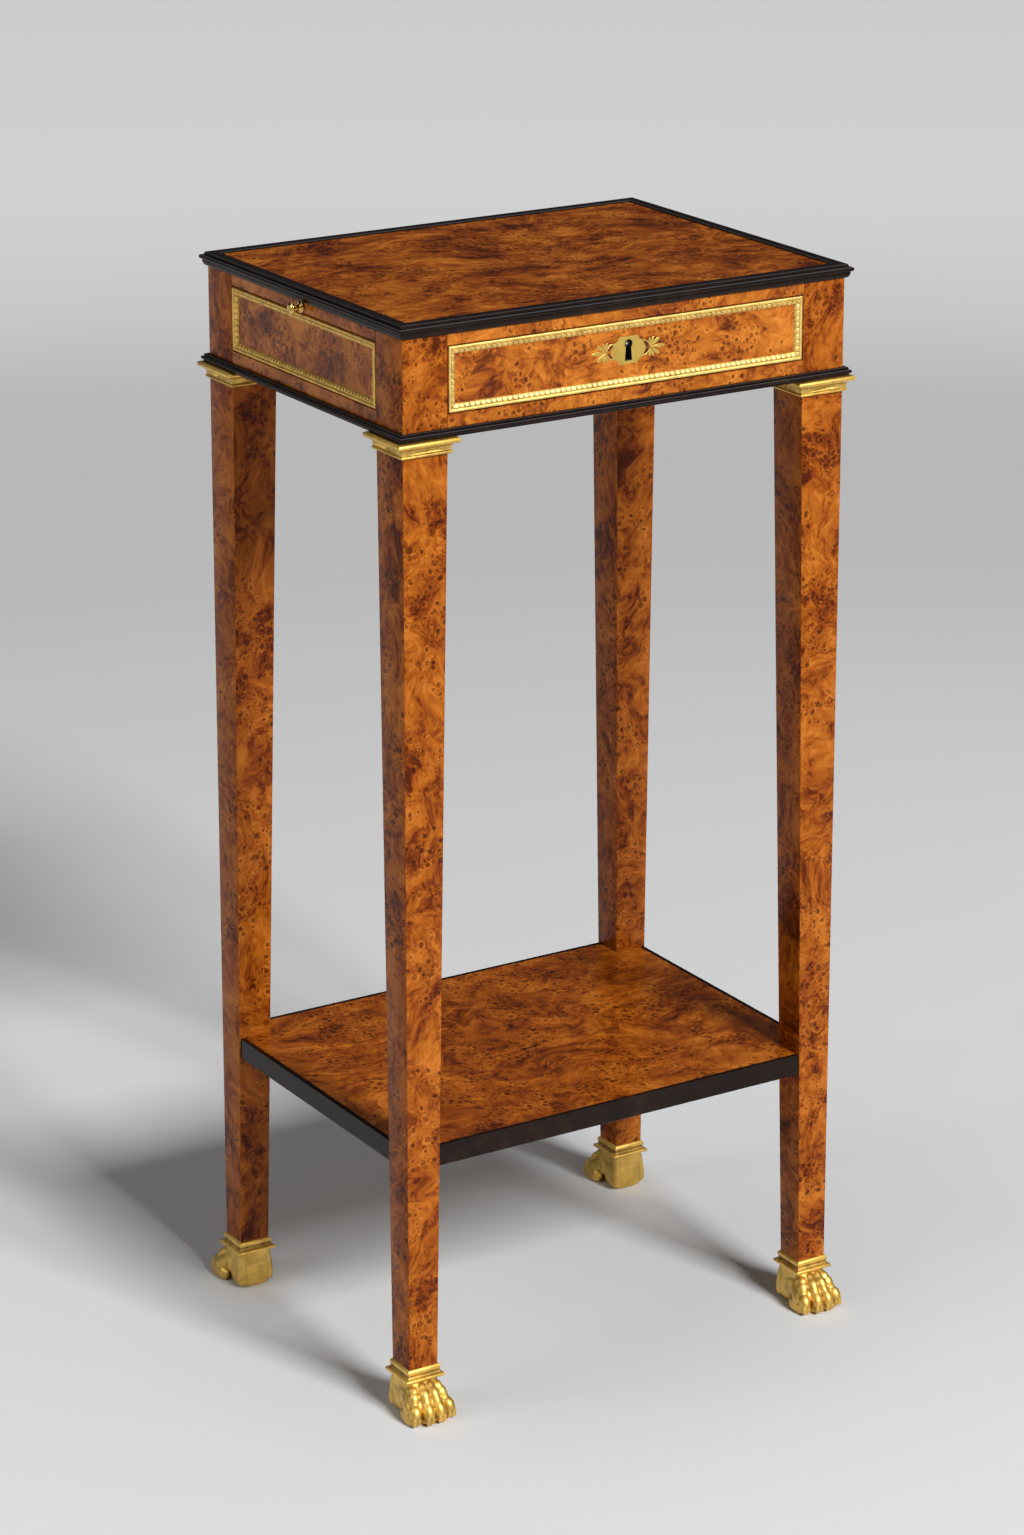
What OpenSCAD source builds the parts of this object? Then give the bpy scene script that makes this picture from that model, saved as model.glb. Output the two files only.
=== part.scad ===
// Tall occasional table in burr veneer, with a drawer at the front, a pull-out
// slide at the left, four tapered legs, a low shelf and gilt paw feet.
// X runs to the right along the front, Y to the back and Z up. The origin is on
// the floor under the middle of the top. Sizes are in millimetres.

/* [Overall] */
// Height of the table to the lip round its top
table_h = 750; // [620:1:860]
// Width of the frieze over the outer faces of the legs
frieze_w = 340; // [300:1:440]
// Depth of the frieze over the outer faces of the legs
frieze_d = 256; // [220:1:340]

/* [Legs and feet] */
// Thickness of a leg where it is a corner of the frieze
leg_t = 33; // [30:0.5:38]
// Thickness of a leg where it stands on its foot
leg_foot_t = 22; // [19:0.5:25]
// Height of a paw foot with its collar
foot_h = 35.5; // [33:0.5:40]
// How far the middle toes reach past the face of the leg
toe_reach = 19; // [14:0.5:21]
// How far the collar of a foot stands out past the leg
collar_out = 3.7; // [3:0.1:4.5]

/* [Frieze] */
// Height of the frieze between the two black mouldings
frieze_h = 60.5; // [58:0.5:72]
// Height of the rail over the drawer, which is the height of the slide too
top_rail_h = 7.3; // [7:0.1:9]
// Height of the rail under the drawer
bottom_rail_h = 8.3; // [8:0.1:11]
// Thickness of the side rails and the back rail
rail_t = 18; // [16:0.5:20]
// Depth of the rail under the drawer, from front to back
front_rail_d = 20; // [16:1:26]
// Thickness of the tenons on the rails
tenon_t = 6; // [5:0.5:7]
// Wood left between two tenons that meet in a leg
tenon_wall = 4; // [3:0.5:5]

/* [Mouldings] */
// Height of the moulding round the top
top_moulding_h = 9.5; // [9:0.5:12]
// How far the moulding round the top stands out past the frieze
top_out = 5; // [4:0.5:7]
// Width of the moulding round the top, from its nose to the veneered panel
top_moulding_w = 11.7; // [10.5:0.1:14]
// Height of the lip over the veneered panel
lip_h = 1.3; // [1:0.1:1.6]
// Height of the moulding along the foot of the frieze
base_moulding_h = 5.5; // [5:0.5:7]
// How far the moulding along the foot of the frieze stands out
base_out = 4.4; // [4:0.1:5.5]

/* [Capitals] */
// Height of a capital
capital_h = 11; // [10:0.5:14]
// How far a capital stands out past the leg at its top
capital_out = 6.5; // [6:0.1:8]
// Radius of the pins that hold a capital
pin_r = 0.7; // [0.6:0.1:0.9]
// Length of the pins that hold a capital
pin_l = 5; // [4:0.5:6]

/* [Panels] */
// Thickness of the sawn veneer on the top, the shelf and the panels
veneer_t = 0.8; // [0.6:0.1:1]
// Depth of the sunk field that holds a gilt frame and its panel
field_d = 2.5; // [2.2:0.1:3]
// Width of the strips of a gilt frame
gilt_w = 5.5; // [5:0.1:6.5]
// How far the ridge of a gilt frame stands out of the frieze
gilt_proud = 0.6; // [0.4:0.1:1]
// Dark gap left round each gilt frame
shadow_gap = 0.9; // [0.7:0.1:1.2]

/* [Shelf] */
// Height of the upper face of the shelf over the floor
shelf_z = 192; // [150:1:260]
// Thickness of the shelf
shelf_t = 14.7; // [13:0.1:18]
// How far the edge of the shelf is set in from the faces of the legs
shelf_in = 1; // [0.5:0.1:2]
// Thickness of the black edging of the shelf
edging_t = 3.5; // [3:0.1:4.5]
// Radius of the dowels that hold the shelf
dowel_r = 3; // [2.5:0.1:3.5]
// How deep a shelf dowel goes into the leg, and into the shelf
dowel_deep = 13; // [10:0.5:15]

/* [Drawer] */
// How far the drawer pulls out
drawer_travel = 185; // [120:1:190]
// Thickness of the drawer front behind its panel
drawer_front_t = 17.5; // [16:0.5:20]
// Thickness of the drawer sides
drawer_side_t = 8; // [7:0.5:10]
// Thickness of the drawer back
drawer_back_t = 7; // [6:0.5:9]
// Thickness of the drawer bottom
drawer_bottom_t = 4; // [3:0.5:5]
// Height of the drawer bottom over the lower edge of the drawer
drawer_bottom_z = 4; // [3:0.5:6]
// Depth of the grooves that hold the drawer bottom
groove_d = 3; // [2.5:0.1:4]
// Free space behind the closed drawer
drawer_rear_gap = 3; // [2:0.5:8]
// Length of the dovetails that join the sides to the front
tail_l = 9; // [7:0.5:10]
// Number of dovetails on each drawer side
tails = 3; // [2:1:4]
// Width of a drawer runner
runner_w = 19; // [15:0.5:24]
// Height of a drawer runner
runner_h = 10; // [8:0.5:12]

/* [Lock] */
// Width of the lock case
lock_w = 44; // [38:1:52]
// Height of the lock case
lock_h = 26; // [25:0.5:27]
// Thickness of the lock case
lock_t = 8.5; // [8:0.1:9.5]
// Width of the lock bolt
bolt_w = 16; // [12:0.5:20]
// Thickness of the lock bolt
bolt_t = 3.6; // [3:0.1:4]
// How far the lock bolt rises
bolt_throw = 4.5; // [3.5:0.1:5]
// Height of the keyhole
keyhole_h = 14; // [13:0.1:14.5]
// Radius of the round part of the keyhole
keyhole_r = 3; // [2.7:0.1:3.2]
// Radius of the drill pin that guides the key
drill_pin_r = 1.3; // [1.1:0.1:1.5]

/* [Escutcheon] */
// Height of the middle plate of the escutcheon
plate_h = 18.2; // [17.5:0.1:20]
// Width of the middle plate between its side points
plate_w = 27.4; // [26:0.1:30]
// Length of the palmette at each side
palmette_l = 14.4; // [13:0.1:16]
// Height of the middle of the escutcheon over the middle of the drawer front
plate_up = 1.9; // [1.5:0.1:2.3]

/* [Slide] */
// How far the slide pulls out
slide_travel = 200; // [120:1:210]
// Free space between the end of the closed slide and the rail behind it
slide_end_gap = 26; // [4:1:40]
// Width of the lipping on the outer end of the slide
lipping_w = 12; // [9:0.5:16]
// Width of the bearers under the slide
bearer_w = 16; // [12:0.5:20]
// Thickness of the bearers under the slide
bearer_t = 6.5; // [6:0.1:8]
// Radius of the stop peg under the slide
stop_r = 4; // [3:0.5:5]
// Length of the slide's knob
knob_l = 9.5; // [8:0.5:11]
// Largest radius of the slide's knob
knob_r = 4.3; // [3.8:0.1:4.6]

/* [Fits] */
// Gap in glued and pinned joints
fit = 0.05; // [0.02:0.01:0.1]
// Play between pieces that slide on each other
play = 0.3; // [0.2:0.05:0.4]
// Play at each side of the drawer and of the slide
side_play = 0.5; // [0.4:0.1:0.8]
// Clearance of the drawer sides under the bearers
lift_play = 1.2; // [0.8:0.1:2]

/* [Hidden] */
$fn = 48;

// Levels, from the top down
frieze_top = table_h - top_moulding_h;
frieze_foot = frieze_top - frieze_h;
moulding_foot = frieze_foot - base_moulding_h;
capital_foot = moulding_foot - capital_h;
field_top = frieze_top - top_rail_h;
field_foot = frieze_foot + bottom_rail_h;
field_mid = (field_top + field_foot) / 2;
panel_top = table_h - lip_h;

// Faces, measured from the middle of the table
half_w = frieze_w / 2;
half_d = frieze_d / 2;
inner_x = half_w - leg_t;
inner_y = half_d - leg_t;
tenon_l = leg_t - rail_t / 2 - tenon_t / 2 - tenon_wall;
rail_shoulder = 6;

// Panel of the top and pieces that hold it
panel_x = half_w + top_out - top_moulding_w;
panel_y = half_d + top_out - top_moulding_w;
screw_r = 1.75;
screw_head_r = 3.4;
screw_head_h = 2;
screw_in = 4.5;
screw_x = inner_x * 0.65;

// Leg thickness at a height below the capitals
function leg_at(z) = leg_foot_t + (leg_t - leg_foot_t) * (z - foot_h) / (capital_foot - foot_h);

// Shelf
shelf_mid = shelf_z - shelf_t / 2;
board_x = half_w - shelf_in - edging_t;
board_y = half_d - shelf_in - edging_t;
dowel_x = half_w - leg_at(shelf_mid);
dowel_y = half_d - leg_at(shelf_mid) / 2;

// Drawer
core_y = -half_d + field_d;
front_back_y = core_y + drawer_front_t;
drawer_x = inner_x - side_play;
drawer_foot = field_foot + play;
drawer_front_top = field_top - shadow_gap + play;
drawer_side_top = field_top - bearer_t - lift_play;
drawer_rear_y = half_d - rail_t - drawer_rear_gap;
// The drawer's back and bottom end a little in front of its sides
back_rear_y = drawer_rear_y - 4;
bottom_rear_y = drawer_rear_y - 2;
bottom_z = drawer_foot + drawer_bottom_z;
tail_pitch = (drawer_side_top - bottom_z - drawer_bottom_t) / tails;

// Lock, measured from the inner face of the drawer front
lock_top = drawer_front_top;
selvage_t = 1.5;
selvage_w = lock_w + 16;
lock_front_y = front_back_y - lock_t;
bolt_y = front_back_y - lock_t / 2;
bolt_h = 14;
bolt_top = lock_top - 0.2;
plate_z = field_mid + plate_up;
keyhole_eye_z = plate_z + keyhole_h / 2 - keyhole_r;
keyhole_neck_w = 3.8;
keyhole_foot_w = 5.6;
plate_t = veneer_t + 0.2;

// Slide
slide_y = inner_y - side_play;
slide_l = frieze_w - rail_t - slide_end_gap;
slide_foot = field_top + play;
slide_top = frieze_top - play;
stop_x = -half_w + rail_t + slide_travel + stop_r + side_play;
stop_drop = bearer_t - 2;
knob_z = (slide_foot + slide_top) / 2;
knob_tang_r = 1.5;
knob_tang_l = 8;

// Mitre gap between the strips of a frame
mitre_gap = 0.1;
// How far a pin head is sunk in the face of its capital
pin_sunk = 0.6;

// Colours
burr = "#b8682a";
ebony = "#1c1714";
gilt = "#d9ad45";
brass = "#bfa04e";
oak = "#a9824f";
steel = "#8d9196";

// A box from its low corner to its high corner
module block(low, high)
    translate(low) cube(high - low);

// Puts the shape of the back right corner at any corner
module corner(x_side, y_side)
    flip_x(x_side) flip_y(y_side) children();

module flip_x(side)
    if (side < 0) mirror([1, 0, 0]) children(); else children();

module flip_y(side)
    if (side < 0) mirror([0, 1, 0]) children(); else children();

// The four corners in turn
module each_corner()
    for (x_side = [-1, 1])
        for (y_side = [-1, 1])
            corner(x_side, y_side) children();

// Puts a shape made for the back of the table on another side.
// The shape lies on the plane y = 0 and faces +Y.
module at_back() translate([0, half_d, 0]) children();
module at_front() rotate([0, 0, 180]) translate([0, half_d, 0]) children();
module at_left() rotate([0, 0, 90]) translate([0, half_w, 0]) children();
module at_right() rotate([0, 0, -90]) translate([0, half_w, 0]) children();

// Legs: square in section, plumb outside, tapered on the two inner faces
module leg_outline(half, gap)
    polygon([
        [half + gap, foot_h],
        [half + gap, frieze_top],
        [half - leg_t - gap, frieze_top],
        [half - leg_t - gap, capital_foot],
        [half - leg_foot_t - gap, foot_h]
    ]);

module leg_form(gap = 0)
    intersection() {
        translate([0, half_d * 2, 0])
            rotate([90, 0, 0])
                linear_extrude(half_d * 2)
                    leg_outline(half_w, gap);
        rotate([90, 0, 90])
            linear_extrude(half_w * 2)
                leg_outline(half_d, gap);
    }

module leg(x_side, y_side)
    color(burr)
    difference() {
        corner(x_side, y_side) leg_form();
        rail_tenons(fit);
        shelf_pegs(fit);
        pins(fit);
        spigots(fit);
    }

// Tenons of every rail, with a gap where they are cut out of a leg
module rail_tenons(gap = 0) {
    side_tenons(1, frieze_top, gap);
    side_tenons(-1, field_top, gap);
    back_tenons(gap);
    bottom_tenons(gap);
    top_tenons(gap);
}

module tenon(half_length, mid, thickness, low, high, gap)
    block(
        [mid - thickness / 2 - gap, half_length, low - gap],
        [mid + thickness / 2 + gap, half_length + tenon_l + gap, high + gap]
    );

module side_tenons(side, top, gap = 0)
    for (y_side = [-1, 1])
        corner(side, y_side)
            tenon(inner_y, half_w - rail_t / 2, tenon_t,
                moulding_foot + rail_shoulder, top - rail_shoulder, gap);

module back_tenons(gap = 0)
    for (x_side = [-1, 1])
        corner(x_side, 1)
            rotate([0, 0, -90]) mirror([1, 0, 0])
                tenon(inner_x, half_d - rail_t / 2, tenon_t,
                    moulding_foot + rail_shoulder, frieze_top - rail_shoulder, gap);

module bottom_tenons(gap = 0)
    for (x_side = [-1, 1])
        corner(x_side, -1)
            rotate([0, 0, -90]) mirror([1, 0, 0])
                tenon(inner_x, half_d - front_rail_d / 2, tenon_t,
                    moulding_foot + rail_shoulder / 2, field_foot - rail_shoulder / 2, gap);

module top_tenons(gap = 0)
    for (x_side = [-1, 1])
        corner(x_side, -1)
            rotate([0, 0, -90]) mirror([1, 0, 0])
                tenon(inner_x, half_d - leg_t / 2, tenon_t * 2,
                    field_top + top_rail_h / 4, frieze_top - top_rail_h / 4, gap);

// Rails
module side_rail(side, top)
    color(burr)
    difference() {
        union() {
            corner(side, 1) block([half_w - rail_t, -inner_y, moulding_foot], [half_w, inner_y, top]);
            side_tenons(side, top);
        }
        corner(side, 1)
            block([half_w - field_d, -inner_y - 1, field_foot], [half_w + 1, inner_y + 1, field_top]);
    }

module left_rail() side_rail(-1, field_top);
module right_rail() side_rail(1, frieze_top);

module back_rail()
    color(burr)
    difference() {
        union() {
            block([-inner_x, half_d - rail_t, moulding_foot], [inner_x, half_d, frieze_top]);
            back_tenons();
        }
        block([-inner_x - 1, half_d - field_d, field_foot], [inner_x + 1, half_d + 1, field_top]);
    }

module front_bottom_rail()
    color(burr) {
        block([-inner_x, -half_d, moulding_foot], [inner_x, -half_d + front_rail_d, field_foot]);
        bottom_tenons();
    }

module front_top_rail()
    color(burr)
    difference() {
        union() {
            block([-inner_x, -half_d, field_top], [inner_x, -inner_y, frieze_top]);
            top_tenons();
        }
        bolt_mortise();
        top_screw_form(fit);
    }

// Mouldings: a strip with 45 degree ends, from a profile that has its outward
// distance along X and its height along Y. It lies on y = 0 and faces +Y.
module mitred(length, out, back, low, high)
    intersection() {
        rotate([90, 0, 90])
            translate([0, 0, -length / 2 - out])
                linear_extrude(length + 2 * out)
                    children();
        translate([0, 0, low])
            linear_extrude(high - low)
                polygon([
                    [-length / 2 - out + mitre_gap, out],
                    [length / 2 + out - mitre_gap, out],
                    [length / 2 - back - mitre_gap, -back],
                    [-length / 2 + back + mitre_gap, -back]
                ]);
    }

nose_r = 1.4;
lip_r = 0.9;

module top_profile() {
    back = top_moulding_w - top_out;
    nose_z = top_moulding_h - lip_h - nose_r * 1.5;
    translate([-back, 0]) square([back + top_out - nose_r * 1.6, top_moulding_h - lip_r]);
    polygon([
        [0, 0],
        [top_out - nose_r * 1.6, 0],
        [top_out - nose_r, nose_z],
        [0, nose_z]
    ]);
    translate([0, nose_z - nose_r]) square([top_out - nose_r, nose_r * 2]);
    translate([top_out - nose_r, nose_z]) circle(nose_r);
    translate([-back, 0]) square([back - lip_r, top_moulding_h - lip_h]);
    translate([-back + lip_r, top_moulding_h - lip_r]) circle(lip_r);
    translate([-back + lip_r, 0]) square([back + top_out - nose_r * 1.6 - lip_r * 2, top_moulding_h]);
    translate([top_out - nose_r * 1.6 - lip_r, top_moulding_h - lip_r]) circle(lip_r);
}

module top_moulding(length)
    color(ebony)
    translate([0, 0, frieze_top])
        mitred(length, top_out, top_moulding_w - top_out, 0, top_moulding_h)
            top_profile();

base_nose_r = 1.3;

module base_profile() {
    nose_z = base_moulding_h / 2;
    square([base_out * 0.55, base_moulding_h]);
    translate([0, nose_z - base_nose_r]) square([base_out - base_nose_r, base_nose_r * 2]);
    translate([base_out - base_nose_r, nose_z]) circle(base_nose_r);
    square([base_out * 0.75, nose_z]);
}

module base_moulding(length)
    color(ebony)
    translate([0, 0, moulding_foot])
        mitred(length, base_out, 0, 0, base_moulding_h)
            base_profile();

// Capitals: a square collar whose profile is the same on all four sides
capital_neck = capital_out * 0.28;

module capital_profile() {
    bead_r = capital_h * 0.14;
    band = capital_h * 0.36;
    top_bead_r = capital_h * 0.15;
    square([capital_neck, capital_h]);
    translate([capital_out * 0.36 - bead_r, bead_r]) circle(bead_r);
    difference() {
        translate([0, band]) square([capital_out - top_bead_r, capital_h - band]);
        translate([capital_out - top_bead_r, band])
            hollow(capital_out * 0.72 - top_bead_r, capital_h - band - top_bead_r * 2);
    }
    translate([capital_out - top_bead_r, capital_h - top_bead_r]) circle(top_bead_r);
}

// Quarter-round hollow, as wide and as tall as given
module hollow(width, height)
    polygon(concat(
        [[1, -1], [1, height]],
        [for (i = [0:8]) [-width * sin(i * 90 / 8), height * cos(i * 90 / 8)]],
        [[-width, -1]]
    ));

module square_collar(size, out, profile_h)
    intersection_for(turn = [0, 90])
        rotate([0, 0, turn])
            rotate([90, 0, 0])
                translate([0, 0, -size / 2 - out])
                    linear_extrude(size + 2 * out) {
                        translate([-size / 2, 0]) square([size, profile_h]);
                        translate([size / 2, 0]) children();
                        mirror([1, 0]) translate([size / 2, 0]) children();
                    }

module capital(x_side, y_side)
    color(gilt)
    difference() {
        corner(x_side, y_side)
            translate([half_w - leg_t / 2, half_d - leg_t / 2, capital_foot])
                square_collar(leg_t, capital_out, capital_h)
                    capital_profile();
        corner(x_side, y_side)
            block([inner_x - fit, inner_y - fit, capital_foot - 1],
                [half_w + fit, half_d + fit, moulding_foot + 1]);
        pins(fit);
        pin_mouths();
    }

// One pin in the middle of each face of each capital
pin_z = capital_foot + capital_h * 0.4;
pin_face = leg_t / 2 + capital_neck;

module each_pin()
    each_corner()
        translate([half_w - leg_t / 2, half_d - leg_t / 2, pin_z])
            for (turn = [0:90:270])
                rotate([0, 0, turn])
                    translate([pin_face - pin_sunk, 0, 0])
                        rotate([0, -90, 0])
                            children();

module pins(gap = 0)
    each_pin() cylinder(r = pin_r + gap, h = pin_l + gap, $fn = 24);

module pin_mouths()
    each_pin() translate([0, 0, -capital_out]) cylinder(r = pin_r + fit, h = capital_out + fit, $fn = 24);

module capital_pins()
    color(brass) pins();

// Paw feet: collar, heel, four toes with knuckles and claws, spigot in the leg
collar_h = 8.4;
spigot_r = 4;
spigot_l = 16;
toe_r = 4.2;
toe_tip_r = 4.2;
knuckle_z = foot_h * 0.5;
toe_pitch = 7.2;
toe_spread = 9;
knuckle_back = 8;
outer_toe_back = 3;
outer_knuckle_drop = 1.5;
heel_r = 4.8;
heel_in = 2.6;
sole_t = 1.5;

module spigot(gap = 0)
    translate([0, 0, foot_h - 1])
        cylinder(r = spigot_r + gap, h = spigot_l + 1 + gap);

module spigots(gap = 0)
    each_corner()
        translate([half_w - leg_foot_t / 2, half_d - leg_foot_t / 2, 0])
            spigot(gap);

module collar_profile() {
    lower_r = collar_h * 0.18;
    difference() {
        square([collar_out - lower_r, collar_h * 0.88]);
        translate([collar_out - lower_r, lower_r * 2])
            polygon(concat(
                [[1, 0], [1, collar_h]],
                [for (i = [0:8]) [
                    -(collar_out - lower_r - 0.7) * cos(i * 90 / 8),
                    (collar_h * 0.88 - lower_r * 2) * (1 - sin(i * 90 / 8))
                ]]
            ));
    }
    square([0.8, collar_h]);
    translate([collar_out - lower_r, lower_r]) circle(lower_r);
}

// Reach of each toe: the two middle toes stand further forward
function toe_tip_y(i) = leg_foot_t / 2 + toe_reach - toe_tip_r - (abs(i - 1.5) > 1 ? outer_toe_back : 0);

module toe(i) {
    drop = abs(i - 1.5) > 1 ? outer_knuckle_drop : 0;
    knuckle = [(i - 1.5) * toe_pitch, toe_tip_y(i) - knuckle_back, knuckle_z - drop];
    tip = [(i - 1.5) * toe_spread, toe_tip_y(i), toe_tip_r];
    hull() {
        translate(knuckle) sphere(toe_r, $fn = 16);
        translate(tip) sphere(toe_tip_r, $fn = 16);
        translate([knuckle[0] * 0.8, 0, toe_r]) sphere(toe_r, $fn = 12);
    }
}

module paw_body() {
    half_top = leg_foot_t / 2 + 1;
    hull() {
        translate([-half_top, -half_top, foot_h - collar_h - 2]) cube([half_top * 2, half_top * 2, 2]);
        for (x_side = [-1, 1])
            translate([x_side * (half_top - heel_in), -half_top + heel_in, foot_h * 0.3])
                sphere(heel_r, $fn = 20);
        translate([-half_top + 2, -half_top + 4, 0]) cube([half_top * 2 - 4, leg_foot_t - 6, 1]);
        translate([-half_top, half_top, foot_h * 0.45]) cube([half_top * 2, 3, 4]);
    }
}

module sole() {
    linear_extrude(sole_t) {
        translate([-leg_foot_t / 2 + 1, -leg_foot_t / 2 + 3]) square([leg_foot_t - 2, leg_foot_t - 4]);
        for (i = [0:3])
            translate([(i - 1.5) * toe_spread, toe_tip_y(i)])
                circle(toe_tip_r * 0.75);
        polygon([
            [-toe_spread * 1.5, toe_tip_y(0)],
            [-leg_foot_t / 2 + 1, 0],
            [leg_foot_t / 2 - 1, 0],
            [toe_spread * 1.5, toe_tip_y(0)]
        ]);
    }
}

module paw_form() {
    spigot();
    translate([0, 0, foot_h - collar_h])
        square_collar(leg_foot_t, collar_out, collar_h)
            collar_profile();
    difference() {
        union() {
            paw_body();
            for (i = [0:3])
                toe(i);
        }
        block([-foot_h * 2, -foot_h * 2, -foot_h], [foot_h * 2, foot_h * 2, 0]);
    }
    sole();
}

module paw(x_side, y_side)
    color(gilt)
    corner(x_side, y_side)
        translate([half_w - leg_foot_t / 2, half_d - leg_foot_t / 2, 0])
            paw_form();

// Top
module top_core()
    color(oak)
    difference() {
        block([-panel_x + fit, -panel_y + fit, frieze_top],
            [panel_x - fit, panel_y - fit, panel_top - veneer_t]);
        top_screw_form(fit);
    }

module top_veneer()
    color(burr)
    block([-panel_x + fit, -panel_y + fit, panel_top - veneer_t],
        [panel_x - fit, panel_y - fit, panel_top]);

// Screws up through the front top rail and the back rail's guide into the top
module top_screw_form(gap = 0)
    for (x = [-screw_x, screw_x])
        for (y = [-half_d + leg_t * 0.6, (inner_y + half_d - rail_t) / 2])
            translate([x, y, field_top]) {
                translate([0, 0, -gap]) cylinder(r = screw_head_r + gap, h = screw_head_h + gap * 2);
                cylinder(r = screw_r + gap, h = top_rail_h + screw_in + gap);
            }

module top_screws()
    color(steel) top_screw_form();

// Sunk panels and gilt frames. Each lies on y = 0 and faces +Y.
module panel(length)
    color(burr) {
        edge = shadow_gap + gilt_w + fit;
        block([-length / 2 + edge, -field_d, field_foot + edge],
            [length / 2 - edge, -field_d + veneer_t, field_top - edge]);
    }

module gilt_profile() {
    ridge = 1.5;
    square([gilt_w, veneer_t + 0.6]);
    square([ridge, field_d + gilt_proud - ridge / 2]);
    translate([ridge / 2, field_d + gilt_proud - ridge / 2]) circle(ridge / 2);
    polygon([
        [ridge, 0],
        [ridge, field_d - 0.2],
        [gilt_w, veneer_t + 0.6],
        [gilt_w, 0]
    ]);
}

// A straight strip with mitred ends that points its profile inwards
module gilt_strip(length)
    intersection() {
        rotate([0, 90, 0])
            rotate([0, 0, 90])
                translate([0, 0, -length / 2])
                    linear_extrude(length)
                        gilt_profile();
        translate([0, 0, -1])
            linear_extrude(field_d + gilt_proud + 2)
                polygon([
                    [-length / 2 + mitre_gap, 0],
                    [length / 2 - mitre_gap, 0],
                    [length / 2 - gilt_w - mitre_gap, gilt_w],
                    [-length / 2 + gilt_w + mitre_gap, gilt_w]
                ]);
    }

module gilt_frame(length)
    color(gilt) {
        w = length - 2 * shadow_gap;
        h = field_top - field_foot - 2 * shadow_gap;
        translate([0, -field_d, field_mid])
            rotate([90, 0, 180]) {
                for (turn = [0, 180])
                    rotate([0, 0, turn]) translate([0, -h / 2, 0]) gilt_strip(w);
                for (turn = [90, 270])
                    rotate([0, 0, turn]) translate([0, -w / 2, 0]) gilt_strip(h);
            }
    }

// Shelf
module shelf_pegs(gap = 0)
    each_corner()
        translate([dowel_x - dowel_deep - gap, dowel_y, shelf_mid])
            rotate([0, 90, 0])
                cylinder(r = dowel_r + gap, h = dowel_deep * 2 + gap * 2);

module shelf_dowels()
    color(oak) shelf_pegs();

module shelf_board()
    color(oak)
    difference() {
        block([-board_x + fit, -board_y + fit, shelf_z - shelf_t],
            [board_x - fit, board_y - fit, shelf_z - veneer_t]);
        each_corner() leg_form(fit);
        shelf_pegs(fit);
    }

module shelf_veneer()
    color(burr)
    difference() {
        block([-board_x + fit, -board_y + fit, shelf_z - veneer_t], [board_x - fit, board_y - fit, shelf_z]);
        each_corner() leg_form(fit);
    }

// One edging of the shelf, on the side where low and high put it
module edging(low, high)
    color(ebony)
    difference() {
        block([low[0], low[1], shelf_z - shelf_t], [high[0], high[1], shelf_z]);
        each_corner() leg_form(fit);
    }

edge_x = half_w - shelf_in;
edge_y = half_d - shelf_in;
module shelf_edging_front() edging([-inner_x - leg_t, -edge_y], [inner_x + leg_t, -board_y]);
module shelf_edging_back() edging([-inner_x - leg_t, board_y], [inner_x + leg_t, edge_y]);
module shelf_edging_left() edging([-edge_x, -inner_y - leg_t], [-board_x, inner_y + leg_t]);
module shelf_edging_right() edging([board_x, -inner_y - leg_t], [edge_x, inner_y + leg_t]);

// Runners, guides and bearers inside the frieze
module drawer_runners()
    color(oak)
    for (side = [-1, 1])
        corner(side, 1)
            block([inner_x - runner_w, -half_d + front_rail_d + fit, field_foot - runner_h],
                [inner_x - fit, half_d - rail_t - fit, field_foot]);

module drawer_guides()
    color(oak)
    for (side = [-1, 1])
        corner(side, 1)
            block([inner_x, -inner_y + fit, field_foot - runner_h],
                [half_w - rail_t - fit, inner_y - fit, field_top - bearer_t]);

module slide_bearers()
    color(oak)
    for (side = [-1, 1])
        corner(1, side)
            block([-half_w + rail_t + fit, inner_y - bearer_w, field_top - bearer_t],
                [half_w - rail_t - fit, inner_y - fit, field_top]);

module slide_guide()
    color(oak)
    difference() {
        block([-inner_x + fit, inner_y, field_top], [inner_x - fit, half_d - rail_t - fit, frieze_top]);
        top_screw_form(fit);
    }

// Drawer
module tail_form(gap = 0)
    for (side = [-1, 1])
        corner(side, 1)
            for (i = [0:tails - 1])
                translate([drawer_x - drawer_side_t - gap, front_back_y, 0])
                    rotate([90, 0, 90])
                        linear_extrude(drawer_side_t + gap * 2)
                            tail_outline(bottom_z + drawer_bottom_t + tail_pitch * (i + 0.5), gap);

// One dovetail, narrow at its root and wide at its end
tail_root = 1;
module tail_outline(z, gap)
    polygon([
        [tail_root, z - tail_pitch * 0.26 - gap],
        [-tail_l - gap, z - tail_pitch * 0.38 - gap],
        [-tail_l - gap, z + tail_pitch * 0.38 + gap],
        [tail_root, z + tail_pitch * 0.26 + gap]
    ]);

module drawer_front()
    color(burr)
    difference() {
        block([-drawer_x, core_y, drawer_foot], [drawer_x, front_back_y, drawer_front_top]);
        tail_form(fit);
        bottom_form(fit);
        lock_form(fit);
        translate([0, core_y - 1, 0])
            keyhole(lock_front_y - core_y + 2, fit);
    }

module drawer_side(side)
    color(oak)
    difference() {
        union() {
            corner(side, 1)
                block([drawer_x - drawer_side_t, front_back_y, drawer_foot],
                    [drawer_x, drawer_rear_y, drawer_side_top]);
            intersection() {
                tail_form();
                corner(side, 1) block([0, -half_d, 0], [half_w, half_d, table_h]);
            }
        }
        bottom_form(fit);
        back_form(fit);
    }

// The back is housed in the sides and stands on the bottom
module back_form(gap = 0)
    block([-drawer_x + drawer_side_t - groove_d - gap, back_rear_y - drawer_back_t - gap,
            bottom_z + drawer_bottom_t],
        [drawer_x - drawer_side_t + groove_d + gap, back_rear_y + gap, drawer_side_top - 1 + gap]);

module drawer_back()
    color(oak) back_form();

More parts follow.
